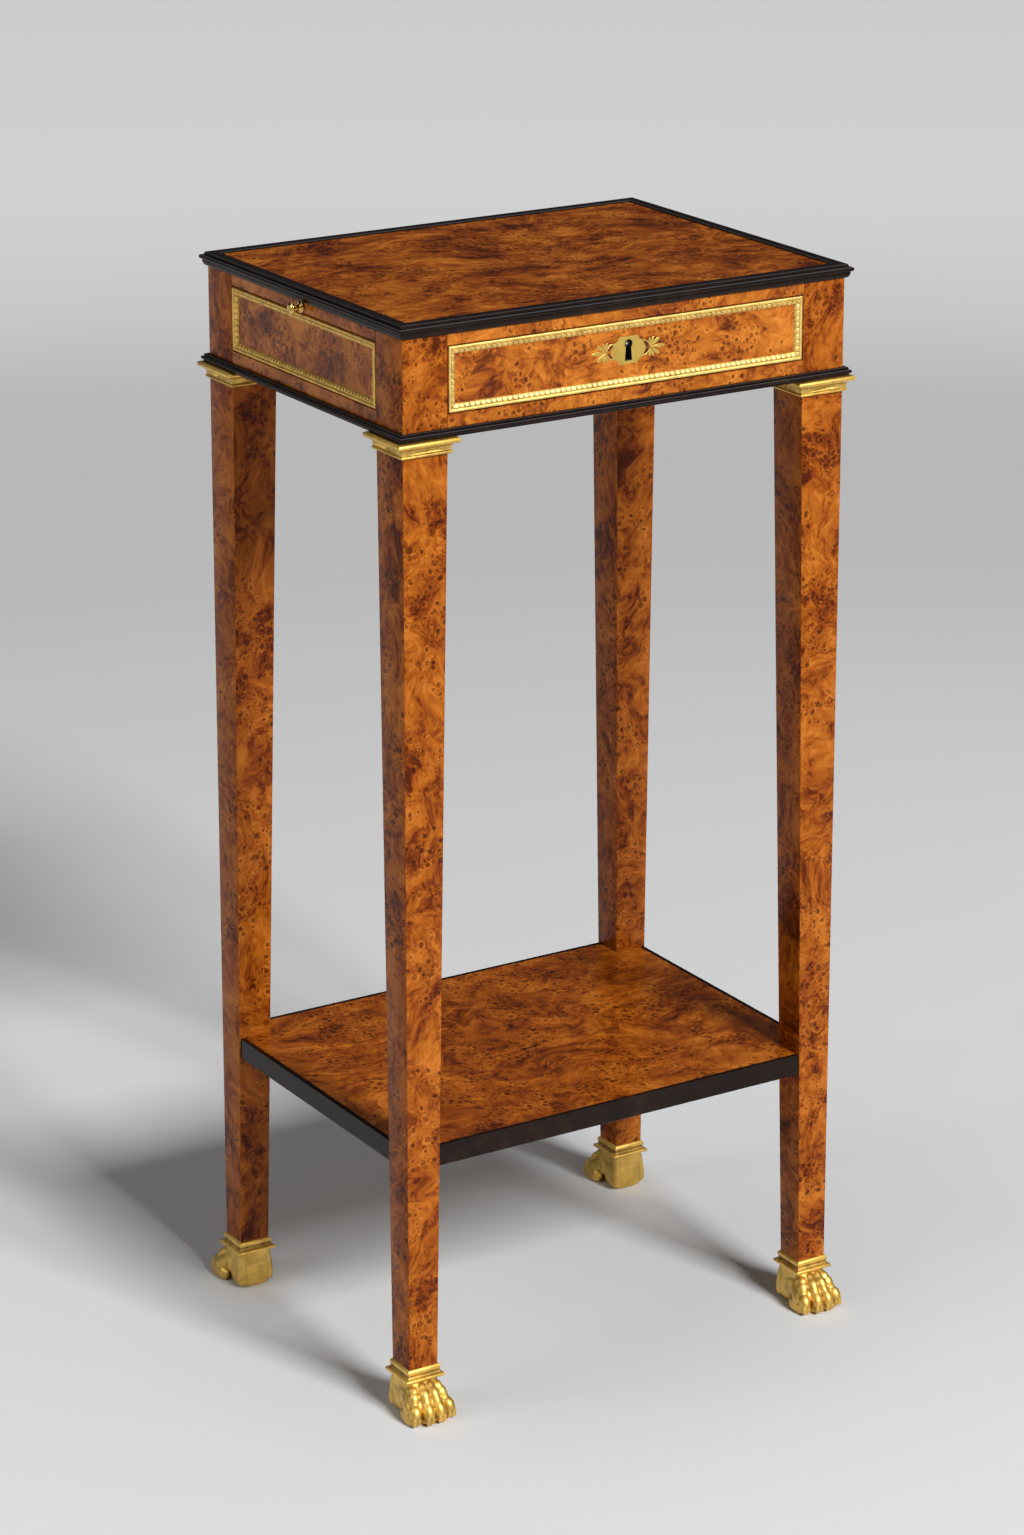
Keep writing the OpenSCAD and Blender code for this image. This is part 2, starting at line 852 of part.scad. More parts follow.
module bottom_form(gap = 0)
    block([-drawer_x + drawer_side_t - groove_d - gap, front_back_y - groove_d - gap, bottom_z - gap],
        [drawer_x - drawer_side_t + groove_d + gap, bottom_rear_y, bottom_z + drawer_bottom_t]);

module drawer_bottom()
    color(oak) bottom_form();

module drawer_panel()
    difference() {
        at_front() panel(inner_x * 2);
        translate([0, core_y - veneer_t - 1, 0])
            escutcheon_form(veneer_t + 2, fit);
    }

module drawer_frame()
    at_front() gilt_frame(inner_x * 2);

// Stands a flat outline up on the drawer front, with the given thickness
module upright(thickness)
    translate([0, thickness, plate_z])
        rotate([90, 0, 0])
            linear_extrude(thickness)
                children();

// Outline of the escutcheon: a plate with hollowed corners between two palmettes
module plate_outline(grow = 0) {
    top = plate_h / 2 + grow;
    wide = plate_w / 2 + grow;
    notch = plate_h * 0.16;
    difference() {
        polygon([
            [-plate_w * 0.25, top], [plate_w * 0.25, top],
            [plate_w * 0.39, top * 0.55], [wide, 0],
            [plate_w * 0.39, -top * 0.55], [plate_w * 0.25, -top],
            [-plate_w * 0.25, -top], [-plate_w * 0.39, -top * 0.55],
            [-wide, 0], [-plate_w * 0.39, top * 0.55]
        ]);
        for (x_side = [-1, 1])
            for (z_side = [-1, 1])
                translate([x_side * plate_w * 0.36, z_side * plate_h * 0.44])
                    circle(notch - grow);
    }
}

lobes = 7;
lobe_r = 1.15;
module palmette(grow = 0) {
    translate([-1, -1.1 - grow]) square([3.4, 2.2 + grow * 2]);
    translate([1.2, -3.1 - grow]) square([1.4 + grow, 6.2 + grow * 2]);
    for (i = [0:lobes - 1]) {
        turn = (i - (lobes - 1) / 2) * 27;
        reach = palmette_l - 1.9 - lobe_r - abs(turn) * 0.075;
        translate([1.9, 0])
            rotate(turn) {
                polygon([
                    [0, -0.45 - grow], [reach, -lobe_r - grow],
                    [reach, lobe_r + grow], [0, 0.45 + grow]
                ]);
                translate([reach, 0]) circle(lobe_r + grow, $fn = 24);
            }
    }
}

module escutcheon_form(thickness, grow = 0) {
    upright(thickness) plate_outline(grow);
    for (x_side = [-1, 1])
        flip_x(x_side)
            translate([plate_w / 2, 0, 0])
                upright(thickness) palmette(grow);
}

// Keyhole: round at the top, with a slot that widens towards its foot
module keyhole(depth, gap = 0)
    translate([0, depth, 0])
        rotate([90, 0, 0])
            linear_extrude(depth) {
                translate([0, keyhole_eye_z]) circle(keyhole_r + gap);
                polygon([
                    [-keyhole_neck_w / 2 - gap, keyhole_eye_z],
                    [keyhole_neck_w / 2 + gap, keyhole_eye_z],
                    [keyhole_foot_w / 2 + gap, keyhole_eye_z + keyhole_r - keyhole_h - gap],
                    [-keyhole_foot_w / 2 - gap, keyhole_eye_z + keyhole_r - keyhole_h - gap]
                ]);
            }

module escutcheon()
    color(brass)
    difference() {
        translate([0, core_y - plate_t, 0]) escutcheon_form(plate_t);
        translate([0, core_y - plate_t - 1, 0]) keyhole(plate_t + 2);
    }

// Lock: a case let into the drawer front, with a flange flush with its top edge
module lock_form(gap = 0) {
    block([-lock_w / 2 - gap, lock_front_y - gap, lock_top - lock_h - gap],
        [lock_w / 2 + gap, front_back_y + 1, lock_top + 1]);
    block([-selvage_w / 2 - gap, lock_front_y - gap, lock_top - selvage_t - gap],
        [selvage_w / 2 + gap, front_back_y + 1, lock_top + 1]);
}

module bolt_channel(gap = 0)
    block([-bolt_w / 2 - gap, bolt_y - bolt_t / 2 - gap, bolt_top - bolt_h - gap],
        [bolt_w / 2 + gap, bolt_y + bolt_t / 2 + gap, bolt_top + gap]);

module lock_case()
    color(brass) {
        difference() {
            intersection() {
                lock_form();
                block([-half_w, -half_d, 0], [half_w, front_back_y, lock_top]);
            }
            bolt_channel(play);
            translate([0, lock_front_y - 1, 0]) keyhole(2.5, 0);
        }
        translate([0, lock_front_y + 3, keyhole_eye_z])
            rotate([90, 0, 0])
                cylinder(r = drill_pin_r, h = lock_front_y + 3 - core_y - 1.5, $fn = 24);
    }

module lock_bolt()
    color(steel) bolt_channel();

// Mortise in the rail over the drawer that takes the raised bolt
module bolt_mortise()
    block([-bolt_w / 2 - 2, bolt_y - bolt_t / 2 - 1, field_top - 1],
        [bolt_w / 2 + 2, bolt_y + bolt_t / 2 + 1, bolt_top + bolt_throw + 1]);

// Slide
module slide_board()
    color(oak)
    difference() {
        block([-half_w + lipping_w + fit, -slide_y, slide_foot], [-half_w + slide_l, slide_y, slide_top]);
        stop_form(fit);
    }

module slide_lipping()
    color(burr)
    difference() {
        block([-half_w, -slide_y, slide_foot], [-half_w + lipping_w, slide_y, slide_top]);
        knob_tang(fit);
    }

module stop_form(gap = 0)
    translate([stop_x, 0, slide_foot - stop_drop])
        cylinder(r = stop_r + gap, h = stop_drop + (slide_top - slide_foot) * 0.75 + gap);

module slide_stop()
    color(oak) stop_form();

module knob_tang(gap = 0)
    translate([-half_w - 0.5, 0, knob_z])
        rotate([0, 90, 0])
            cylinder(r = knob_tang_r + gap, h = knob_tang_l + 0.5 + gap, $fn = 24);

// Knob: collar, thin neck and a round button with a flat rim
module slide_knob()
    color(brass) {
        translate([-half_w, 0, knob_z])
            rotate([0, -90, 0])
                rotate_extrude()
                    knob_profile();
        knob_tang();
    }

module knob_profile() {
    rim_r = 0.9;
    square([knob_r * 0.72, 1.2]);
    square([knob_r * 0.42, knob_l - rim_r]);
    polygon([
        [0, knob_l * 0.35],
        [knob_r * 0.42, knob_l * 0.35],
        [knob_r, knob_l - rim_r * 2.2],
        [knob_r, knob_l - rim_r],
        [0, knob_l - rim_r]
    ]);
    translate([knob_r - rim_r, knob_l - rim_r]) circle(rim_r);
    square([knob_r - rim_r, knob_l]);
}

leg(-1, -1);  // leg_front_left
leg(1, -1);  // leg_front_right
leg(-1, 1);  // leg_back_left
leg(1, 1);  // leg_back_right
capital(-1, -1);  // capital_front_left
capital(1, -1);  // capital_front_right
capital(-1, 1);  // capital_back_left
capital(1, 1);  // capital_back_right
capital_pins();
paw(-1, -1);  // paw_front_left
paw(1, -1);  // paw_front_right
paw(-1, 1);  // paw_back_left
paw(1, 1);  // paw_back_right
top_core();
top_veneer();
at_front() top_moulding(frieze_w);  // top_moulding_front
at_back() top_moulding(frieze_w);  // top_moulding_back
at_left() top_moulding(frieze_d);  // top_moulding_left
at_right() top_moulding(frieze_d);  // top_moulding_right
at_front() base_moulding(frieze_w);  // base_moulding_front
at_back() base_moulding(frieze_w);  // base_moulding_back
at_left() base_moulding(frieze_d);  // base_moulding_left
at_right() base_moulding(frieze_d);  // base_moulding_right
front_top_rail();
front_bottom_rail();
left_rail();
right_rail();
back_rail();
at_left() panel(inner_y * 2);  // left_panel
at_right() panel(inner_y * 2);  // right_panel
at_back() panel(inner_x * 2);  // back_panel
at_left() gilt_frame(inner_y * 2);  // left_frame
at_right() gilt_frame(inner_y * 2);  // right_frame
at_back() gilt_frame(inner_x * 2);  // back_frame
shelf_board();
shelf_veneer();
shelf_edging_front();
shelf_edging_back();
shelf_edging_left();
shelf_edging_right();
shelf_dowels();
drawer_runners();
drawer_guides();
slide_bearers();
slide_guide();
top_screws();
drawer_front();
drawer_panel();
drawer_frame();
drawer_side(-1);  // drawer_side_left
drawer_side(1);  // drawer_side_right
drawer_back();
drawer_bottom();
escutcheon();
lock_case();
lock_bolt();
slide_board();
slide_lipping();
slide_knob();
slide_stop();
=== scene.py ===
# %% [markdown]
# The object is a tall, slim occasional table. Its joinery is fixed by the CAD model, so the lesson starts
# by loading that model as a frame. Shapes could be modelled again by eye, but then drawers would jam and
# tenons would miss. Here each finished piece is laid over the CAD piece it stands for, in the same
# coordinates.

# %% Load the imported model
import bpy
import math
import mathutils
import numpy as np
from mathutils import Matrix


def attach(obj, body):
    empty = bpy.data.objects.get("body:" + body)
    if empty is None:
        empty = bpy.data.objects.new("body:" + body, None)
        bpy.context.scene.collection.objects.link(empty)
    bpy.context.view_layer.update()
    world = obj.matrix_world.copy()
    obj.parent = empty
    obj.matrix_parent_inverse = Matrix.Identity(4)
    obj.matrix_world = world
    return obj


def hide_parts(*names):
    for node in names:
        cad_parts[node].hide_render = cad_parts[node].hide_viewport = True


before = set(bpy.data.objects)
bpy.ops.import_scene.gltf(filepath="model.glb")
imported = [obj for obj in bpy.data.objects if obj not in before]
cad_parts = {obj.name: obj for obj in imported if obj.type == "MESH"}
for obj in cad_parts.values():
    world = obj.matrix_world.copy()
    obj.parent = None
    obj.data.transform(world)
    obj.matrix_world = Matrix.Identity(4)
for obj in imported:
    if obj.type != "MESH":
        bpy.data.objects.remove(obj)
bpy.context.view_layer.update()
print("CAD nodes:", len(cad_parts))

# %% [markdown]
# The picture was taken from the front left, a little above the top, with a long lens. A long lens keeps the
# legs almost parallel. The numbers come from matching the table's corners, and the small shift keeps the
# uprights straight while the table sits in the middle of a portrait picture.

# %% Camera
LOOKS_DOWN, TURNED = 15.95, -31.907
scene = bpy.context.scene
camera_data = bpy.data.cameras.new("camera")
camera_data.lens, camera_data.sensor_width, camera_data.shift_y = 102.99, 36, -0.150
camera = bpy.data.objects.new("camera", camera_data)
camera.location = (-1.5183, -2.4231, 1.3737)
camera.rotation_euler = (math.radians(90 - LOOKS_DOWN), 0, math.radians(TURNED))
scene.collection.objects.link(camera)
scene.camera = camera
scene.view_settings.view_transform = "Standard"
print("camera looks along", [round(x, 3) for x in camera.matrix_basis.col[2][:3]])

# %% [markdown]
# Materials in Blender are graphs of nodes. Building a graph by hand takes many lines, so small helpers make
# a node, fill its sockets and connect it. A value that is a socket becomes a wire, and any other value is
# typed into the socket.

# %% Helpers: one shader node
def fill(made, sockets):
    """Fills a node's sockets, given by name or number, with outputs of other nodes or with values."""
    for name, value in sockets.items():
        if isinstance(value, bpy.types.NodeSocket):
            made.id_data.links.new(value, made.inputs[name])
        elif made.inputs[name].type == "RGBA":
            made.inputs[name].default_value = (*value, 1)
        else:
            made.inputs[name].default_value = value


def node(wire, kind, sockets, **settings):
    """A node of that kind in the graph to which wire belongs, with its settings made and its sockets
    filled."""
    made = wire.id_data.nodes.new("ShaderNode" + kind)
    for name, value in settings.items():
        setattr(made, name, value)
    fill(made, sockets)
    return made


def new_material(name):
    """A material with an empty graph, its Principled shader, and the place on the object in metres."""
    material = bpy.data.materials.new(name)
    material.use_nodes = True
    tree = material.node_tree
    tree.nodes.clear()
    shader = node(tree, "BsdfPrincipled", {})
    node(tree, "OutputMaterial", {"Surface": shader.outputs[0]})
    return material, shader, node(tree, "TexCoord", {}).outputs["Object"]


def ramp(factor, stops):
    """Colours or greys that run from stop to stop as factor goes from 0 to 1."""
    made = node(factor, "ValToRGB", {0: factor})
    elements = made.color_ramp.elements
    while len(elements) < len(stops):
        elements.new(1)
    for element, (at, colour) in zip(elements, stops):
        element.position, element.color = at, (*colour, 1)
    return made.outputs[0]


def span(value, low, high, to_low=0.0, to_high=1.0, smooth=True):
    """Value between low and high, stretched to run from to_low to to_high and held there outside."""
    return node(value, "MapRange", {0: value, 1: low, 2: high, 3: to_low, 4: to_high},
                interpolation_type="SMOOTHSTEP" if smooth else "LINEAR").outputs[0]


def maths(operation, *values):
    """One sum of plain numbers on wires."""
    return node(values[0], "Math", dict(enumerate(values)), operation=operation).outputs[0]


def times(product, *factors):
    """The product of plain numbers on wires."""
    for factor in factors:
        product = maths("MULTIPLY", product, factor)
    return product


def vectors(operation, first, second):
    """One sum of two vectors; SCALE multiplies the first by the plain number second."""
    socket = "Scale" if operation == "SCALE" else 1
    return node(first, "VectorMath", {0: first, socket: second}, operation=operation).outputs[0]


def mix(factor, first, second):
    """First colour where factor is 0, second where it is 1."""
    return node(factor, "Mix", {0: factor, 6: first, 7: second}, data_type="RGBA").outputs[2]


def noise(vector, scale, detail=2.0, roughness=0.5, distortion=0.0, output=0):
    """Soft grey clouds of that scale; output 1 gives three of them at once, as a colour."""
    return node(vector, "TexNoise", {
        "Vector": vector, "Scale": scale, "Detail": detail, "Roughness": roughness, "Distortion": distortion,
    }).outputs[output]


def stretched(vector, scale, shift=(0, 0, 0)):
    """Vector times scale plus shift. A pattern read there is drawn out along the axis with the smallest
    scale."""
    return node(vector, "Mapping", {"Vector": vector, "Location": shift, "Scale": scale}).outputs[0]


def relief(height, strength, distance):
    """The normal of a surface with fine heights on it, which only the light sees."""
    return node(height, "Bump", {"Strength": strength, "Distance": distance, "Height": height}).outputs[0]


print("helpers for shader graphs ready")

# %% [markdown]
# The table stands in a photographer's studio on a seamless pale floor. A curved paper cove would be the
# real thing, but from behind its wall would hide the table. A very wide flat floor does the same from every
# side. Near the table it is matt and takes the shadow, and its colour is painted darker towards the middle,
# as painted shade, and paler further out, as painted light. Far off it fades to a glowing grey ramp of
# painted light and shade that only the eye and polish see, so the background can be pale without any extra
# light on the table. In front, where the lamp stands, its colour is painted darker, as painted shade, since
# it would burn out there. What polish and metal mirror is the pale floor and horizon, and above them the dim
# room, or the top would wear a grey veil.

# %% Floor and surroundings
FLOOR_HALF, JUST_UNDER = 40.0, -0.0003
floor_mesh = bpy.data.meshes.new("floor")
corners = [(FLOOR_HALF * x, FLOOR_HALF * y, JUST_UNDER) for x, y in ((-1, -1), (1, -1), (1, 1), (-1, 1))]
floor_mesh.from_pydata(corners, [], [(0, 1, 2, 3)])
floor = bpy.data.objects.new("floor", floor_mesh)
scene.collection.objects.link(floor)

floor_material, shader, place = new_material("studio_floor")
floor_mesh.materials.append(floor_material)
away = node(place, "VectorMath", {0: place}, operation="LENGTH").outputs["Value"]
# Painted light and shade of a backdrop: far off, the floor glows with this ramp of greys for the eye and
# polish.
painted_backdrop_greys = ramp(span(away, 0, 8, smooth=False), [(at, (grey,) * 3) for at, grey in (
    (0.0, 0.70), (0.1, 0.67), (0.144, 0.61), (0.175, 0.55), (0.2125, 0.50), (0.2875, 0.475), (0.3375, 0.49),
    (0.3875, 0.565), (0.45, 0.62), (0.5125, 0.64), (0.6, 0.62), (0.7, 0.61), (1.0, 0.58))])
# Painted shade and light: the floor's colour is darker near the middle and paler further out.
paper = ramp(away, [(0.12, (0.622, 0.636, 0.648)), (0.3, (0.72, 0.732, 0.742)), (0.6, (0.775, 0.78, 0.784)),
                    (1.0, (0.808, 0.81, 0.812))])
# Painted shade: the floor's colour is darker in front, towards the lamp.
painted_shade_near_lamp = span(node(place, "SeparateXYZ", {0: place}).outputs["Y"], -2.0, -0.45, 0.48, 1.0)
paper = vectors("SCALE", paper, painted_shade_near_lamp)
fill(shader, {"Base Color": paper, "Roughness": 0.75, "Specular IOR Level": 0.2})
path = node(place, "LightPath", {}).outputs
glow = node(place, "Emission", {"Color": painted_backdrop_greys, "Strength": 1.0})
seen = maths("MAXIMUM", path["Is Camera Ray"], path["Is Glossy Ray"])
far = times(seen, span(away, 1.1, 2.1))
both = node(place, "MixShader", {0: far, 1: shader.outputs[0], 2: glow.outputs[0]})
fill(floor_material.node_tree.nodes["Material Output"], {"Surface": both.outputs[0]})

scene.world = bpy.data.worlds.new("studio")
scene.world.use_nodes = True
tree = scene.world.node_tree
tree.nodes.clear()
height = node(tree, "SeparateXYZ", {0: node(tree, "TexCoord", {}).outputs["Generated"]}).outputs["Z"]
mirrored = ramp(height, [
    (0.0, (0.30, 0.30, 0.31)), (0.03, (0.03, 0.03, 0.033)), (0.40, (0.035, 0.036, 0.04)),
    (0.62, (0.16, 0.165, 0.18)), (0.80, (0.55, 0.56, 0.58)), (1.0, (0.70, 0.71, 0.73))])
path = node(tree, "LightPath", {}).outputs
grey = mix(path["Is Glossy Ray"], (0.058, 0.058, 0.06), mirrored)
grey = mix(path["Is Camera Ray"], grey, (0.56, 0.56, 0.57))
surround = node(tree, "Background", {"Color": grey, "Strength": 1.0})
node(tree, "OutputWorld", {"Surface": surround.outputs[0]})
print("floor and surroundings made")

# %% [markdown]
# One big soft lamp lights the front, as in the picture: the shadow of the shelf falls straight back and the
# left sides stay dim. Its power is worked out so that a sheet of paper that faces it renders about as white
# as paper is. A weak wide lamp, high on the left, keeps the left faces from going flat.

# %% Lamps
def softbox(name, place, target, width, height, brightness):
    """A rectangle lamp aimed at target. Brightness 1 gives a facing white sheet about its own colour: power
    = brightness x pi squared x distance squared."""
    data = bpy.data.lights.new(name, "AREA")
    data.shape, data.size, data.size_y = "RECTANGLE", width, height
    aim = np.subtract(target, place)
    data.energy = brightness * math.pi ** 2 * float(aim @ aim)
    lamp = bpy.data.objects.new(name, data)
    lamp.location = place
    lamp.rotation_euler = mathutils.Vector(aim).to_track_quat("-Z", "Y").to_euler()
    scene.collection.objects.link(lamp)
    print(name, "lamp, watts:", round(data.energy))


softbox("key", (0.73, -6.6, 5.04), (0, 0, 0.4), 2.39, 2.16, 1.36)
softbox("side", (-2.5, 0.2, 1.9), (0, 0, 0.5), 1.6, 1.6, 0.23)

# %% [markdown]
# Burr veneer is cut from a swelling on the tree. Its grain wanders in every direction, runs round hundreds
# of tiny bud eyes, and the eyes come in clusters. A picture of wood would tile and blur, so the figure is
# computed. Noise that is drawn out along the grain, and then read at warped places, curls like real fibres.
# Cells of a Voronoi pattern give the eyes: only crowded regions carry them, each has its own size, a brown
# disc, a black core and a pale halo, some have a pale ring too, and the grain is pulled round them.

# %% Burr veneer
# Colours from the darkest streaks to the palest: of the bright upright leaves and of the deeper lying ones.
BRIGHT_TONES = ((0.085, 0.014, 0.0012), (0.24, 0.050, 0.0034), (0.365, 0.099, 0.0070), (0.46, 0.137, 0.0125),
                (0.57, 0.192, 0.024))
DEEP_TONES = ((0.050, 0.009, 0.0010), (0.175, 0.033, 0.0020), (0.285, 0.064, 0.0042), (0.395, 0.103, 0.0085),
              (0.55, 0.170, 0.018))
LEG_TONES = [(0.80 * red, 0.72 * green, 0.68 * blue) for red, green, blue in BRIGHT_TONES]
TONE_STOPS = (0.32, 0.42, 0.50, 0.585, 0.68)


def warped(vector, scale, amount, detail=2.0):
    """Vector, pushed about by a noise of that scale, by up to about a third of amount in metres."""
    centred = vectors("SUBTRACT", noise(vector, scale, detail, output=1), (0.5, 0.5, 0.5))
    return vectors("ADD", vector, vectors("SCALE", centred, amount))


def eyes_in(vector, scale, crowd, share, small, large):
    """Bud eyes: the Voronoi cells, each cell's three lots, the distance of a place from its eye in the
    eye's own sizes, and whether there is an eye, which is so where the first lot plus share times crowd
    goes over 1."""
    cells = node(vector, "TexVoronoi", {"Vector": vector, "Scale": scale}).outputs
    lots = node(vector, "SeparateColor", {0: cells["Color"]}).outputs
    there = span(maths("ADD", lots[0], times(crowd, share)), 1.0, 1.06)
    size = span(lots[1], 0, 1, small, large, smooth=False)
    return cells, lots, maths("DIVIDE", cells["Distance"], size), there


def band(value, start, full, fade, end):
    """1 between full and fade, running smoothly to 0 at start and at end."""
    return times(span(value, start, full), span(value, fade, end, 1, 0))


def burr_veneer(name, tones, shift=(0, 0, 0), run=(0.45, 1, 1), eyes=1.0, contrast=1.0, gloss=0.2,
                leaf=False):
    """Polished burr. Tone = streaks + patches + clouds - fibre lines - eyes, where streaks and patches are
    noises drawn out along the grain (run) and read at twice warped places, pulled round each eye. Fibre
    lines are the contour lines of the patches: fract(7 x patch) near a half. A ramp turns tone into
    colour."""
    material, shader, place = new_material("burr_of_the_" + name)
    place = node(place, "UVMap", {}, uv_map="leaf").outputs["UV"] if leaf else place
    laid = stretched(place, (1.15, 1.15, 1.15), shift)
    flow = warped(laid, 9.0, 0.085, 1.0)
    curl = warped(warped(flow, 34.0, 0.036, 1.5), 110.0, 0.0085)
    crowd = span(noise(flow, 27.0), 0.44, 0.58)
    rough_edged = warped(laid, 170.0, 0.0042)
    cells, lots, reach, there = eyes_in(rough_edged, 172.0, crowd, 0.92 * eyes, 0.17, 0.47)
    *_, pip_reach, pip_there = eyes_in(rough_edged, 360.0, crowd, 0.60 * eyes, 0.20, 0.36)

    off = vectors("SUBTRACT", rough_edged, cells["Position"])
    pulled = vectors("SCALE", off, times(span(reach, 0.6, 2.6, 1, 0), there, -0.95))
    grain = stretched(vectors("ADD", curl, pulled), run)
    streak, patch = noise(grain, 230.0, 4.0, 0.62), noise(grain, 62.0, 4.0, 0.6)
    cloud = noise(flow, 19.0, 3.0, 0.55)
    contour = maths("SUBTRACT", maths("FRACT", times(patch, 7.0)), 0.5)
    line = times(span(maths("ABSOLUTE", contour), 0.0, 0.13, 1, 0),
                 span(noise(flow, 48.0), 0.44, 0.60))
    halo = times(band(reach, 0.95, 1.2, 1.35, 2.1), there)
    tone = maths("MULTIPLY_ADD", streak, 0.44 * contrast, 0.5 - 0.74 * contrast)
    broad = ((patch, 0.62 * contrast), (cloud, 0.42 * contrast))
    for part, weight in (*broad, (crowd, -0.010), (line, -0.10), (halo, 0.06)):
        tone = maths("MULTIPLY_ADD", part, weight, tone)

    ring = times(band(reach, 0.36, 0.5, 0.6, 0.74), span(lots[2], 0.55, 0.60))
    disc = times(span(reach, 0.66, 1.05, 0.72, 0), maths("MULTIPLY_ADD", ring, -0.75, 1.0))
    rim = times(band(reach, 0.82, 0.93, 0.97, 1.12), 0.6)
    core = maths("MAXIMUM", span(reach, 0.16, 0.42, 0.95, 0), rim)
    pip = times(span(pip_reach, 0.5, 1.1, 1, 0), pip_there, 0.7)
    spots = maths("MAXIMUM", times(maths("MAXIMUM", disc, core), there), pip)
    fill(shader, {
        "Base Color": mix(spots, ramp(tone, list(zip(TONE_STOPS, tones))), [0.55 * x for x in tones[0]]),
        "Roughness": span(tone, 0.35, 0.65, 0.32, 0.24),
        "Normal": relief(maths("SUBTRACT", tone, spots), 0.10, 0.0003),
        "Specular IOR Level": gloss, "Coat Weight": 0.3 * gloss, "Coat Roughness": 0.08})
    return material


burr_leg = burr_veneer("legs", LEG_TONES, run=(1, 0.6, 1), contrast=1.25, gloss=0.1, leaf=True)
burr_rail = burr_veneer("rails", BRIGHT_TONES, (0.31, 0.12, 0.4), contrast=1.1)
burr_panel = burr_veneer("panels", BRIGHT_TONES, (1.3, 0.2, 2.1), eyes=1.1, contrast=1.1)
burr_side = burr_veneer("side_panels", BRIGHT_TONES, (0.6, 1.9, 0.7), (1, 1, 0.6), 1.15, 1.2)
burr_top = burr_veneer("top", DEEP_TONES, (2.2, 0.7, 0.3), (0.42, 1, 1), 1.2, 1.25, gloss=0.12)
burr_shelf = burr_veneer("shelf", DEEP_TONES, (3.4, 1.1, 0.8), (0.5, 1, 1), 1.15)
print("burr veneers:", [m.name for m in bpy.data.materials if m.name.startswith("burr")])

# %% [markdown]
# The mouldings are black: pearwood, stained and polished to look like ebony. Black that is only black looks
# like a hole in a render, so the finish needs a clear polish, faint brown where hands have rubbed, fine
# streaks of grain in the bump, the few pale nicks that an old edge collects, and a painted highlight: a cool
# sheen painted on the rounded shoulders that look half up.

# %% Ebonised wood, carcase oak
def ebonised(name):
    """Near black with brown bloom from a soft noise, and small pale nicks where a fine Voronoi cell is
    nearly hit. Where the stored hollow is below zero, on shoulders that look up, a cool sheen is painted
    into the colour as a painted highlight."""
    material, shader, place = new_material(name)
    bloom = noise(place, 60.0, 3.0)
    chips = node(place, "TexVoronoi", {"Vector": place, "Scale": 62.0}).outputs
    lot = node(place, "SeparateColor", {0: chips["Color"]}).outputs[0]
    nick = times(span(chips["Distance"], 0.02, 0.045, 1, 0), span(lot, 0.86, 0.87))
    colour = ramp(bloom, [
        (0.35, (0.0095, 0.0048, 0.0034)), (0.6, (0.0135, 0.0068, 0.0046)), (0.8, (0.026, 0.014, 0.009))])
    # Painted highlight: the stored number below zero marks shoulders that look up, and a cool sheen is mixed
    # in.
    painted_sheen_mask = node(place, "Attribute", {}, attribute_name="hollow").outputs["Fac"]
    colour = mix(span(painted_sheen_mask, 0, -1, smooth=False), colour, (0.062, 0.069, 0.080))
    streaks = noise(stretched(place, (90, 90, 420)), 1.0, 3.0)
    fill(shader, {"Base Color": mix(nick, colour, (0.42, 0.36, 0.30)), "Specular IOR Level": 0.13,
                  "Roughness": span(bloom, 0.3, 0.7, 0.09, 0.17), "Normal": relief(streaks, 0.02, 0.00003)})
    return material


def oak(name, along):
    """Plain oak: noise drawn out along the grain gives the figure, and a finer one the open pores."""
    material, shader, place = new_material(name)
    laid = stretched(place, [9.0 if axis == along else 120.0 for axis in "xyz"])
    figure = noise(laid, 1.0, 4.0, distortion=0.4)
    pores = span(noise(laid, 7.0), 0.60, 0.70)
    colour = ramp(figure, [
        (0.3, (0.25, 0.135, 0.06)), (0.5, (0.38, 0.225, 0.105)), (0.7, (0.50, 0.32, 0.165))])
    fill(shader, {"Base Color": mix(times(pores, 0.6), colour, (0.13, 0.065, 0.03)),
                  "Roughness": span(figure, 0.3, 0.7, 0.62, 0.48),
                  "Normal": relief(maths("SUBTRACT", figure, pores), 0.4, 0.0002)})
    return material


ebony = ebonised("ebonised_pearwood")
oak_x, oak_y = oak("oak_grain_across", "x"), oak("oak_grain_front_to_back", "y")
print("made", ebony.name, oak_x.name, oak_y.name)

# %% [markdown]
# The mounts are bronze, gilded with mercury: a matt, slightly granular gold with burnished high points.
# Gold in a render is only as good as what it mirrors, so its roughness varies, and the hollows are painted
# darker: painted shade, with a little of the wax and dirt that gather there. The hollows are read from a
# number stored in the mesh, which each carved surface writes for itself.

# %% Metals
def metal(name, bright, dull, rough, grain=900.0, bump=0.35, brushed=(1, 1, 1), burnish=0.0):
    """Metal whose colour runs from bright to dull with a soft noise and with the stored hollows, where the
    dull colour is painted shade with a little wax and dirt; a finer noise, drawn out along one axis if it is
    brushed, roughens the surface. Burnish lays a thin clear coat over it, whose small white glints stand for
    the points rubbed bright."""
    material, shader, place = new_material(name)
    hollow = node(place, "Attribute", {}, attribute_name="hollow").outputs["Fac"]
    fine = noise(stretched(place, [grain * x for x in brushed]), 1.0)
    cloud = span(noise(place, 130.0, 3.0), 0.35, 0.75, 0, 0.35)
    # Painted shade: the stored hollows pull the colour towards dull, on top of the soft random cloud.
    cloud_and_painted_shade = span(maths("ADD", cloud, times(hollow, 0.8)), 0, 1, smooth=False)
    fill(shader, {"Base Color": mix(cloud_and_painted_shade, bright, dull), "Normal": relief(fine, bump, 0.00006),
                  "Roughness": span(maths("ADD", fine, hollow), 0.3, 1.2, *rough),
                  "Metallic": 1.0, "Coat Weight": burnish, "Coat Roughness": 0.18})
    return material


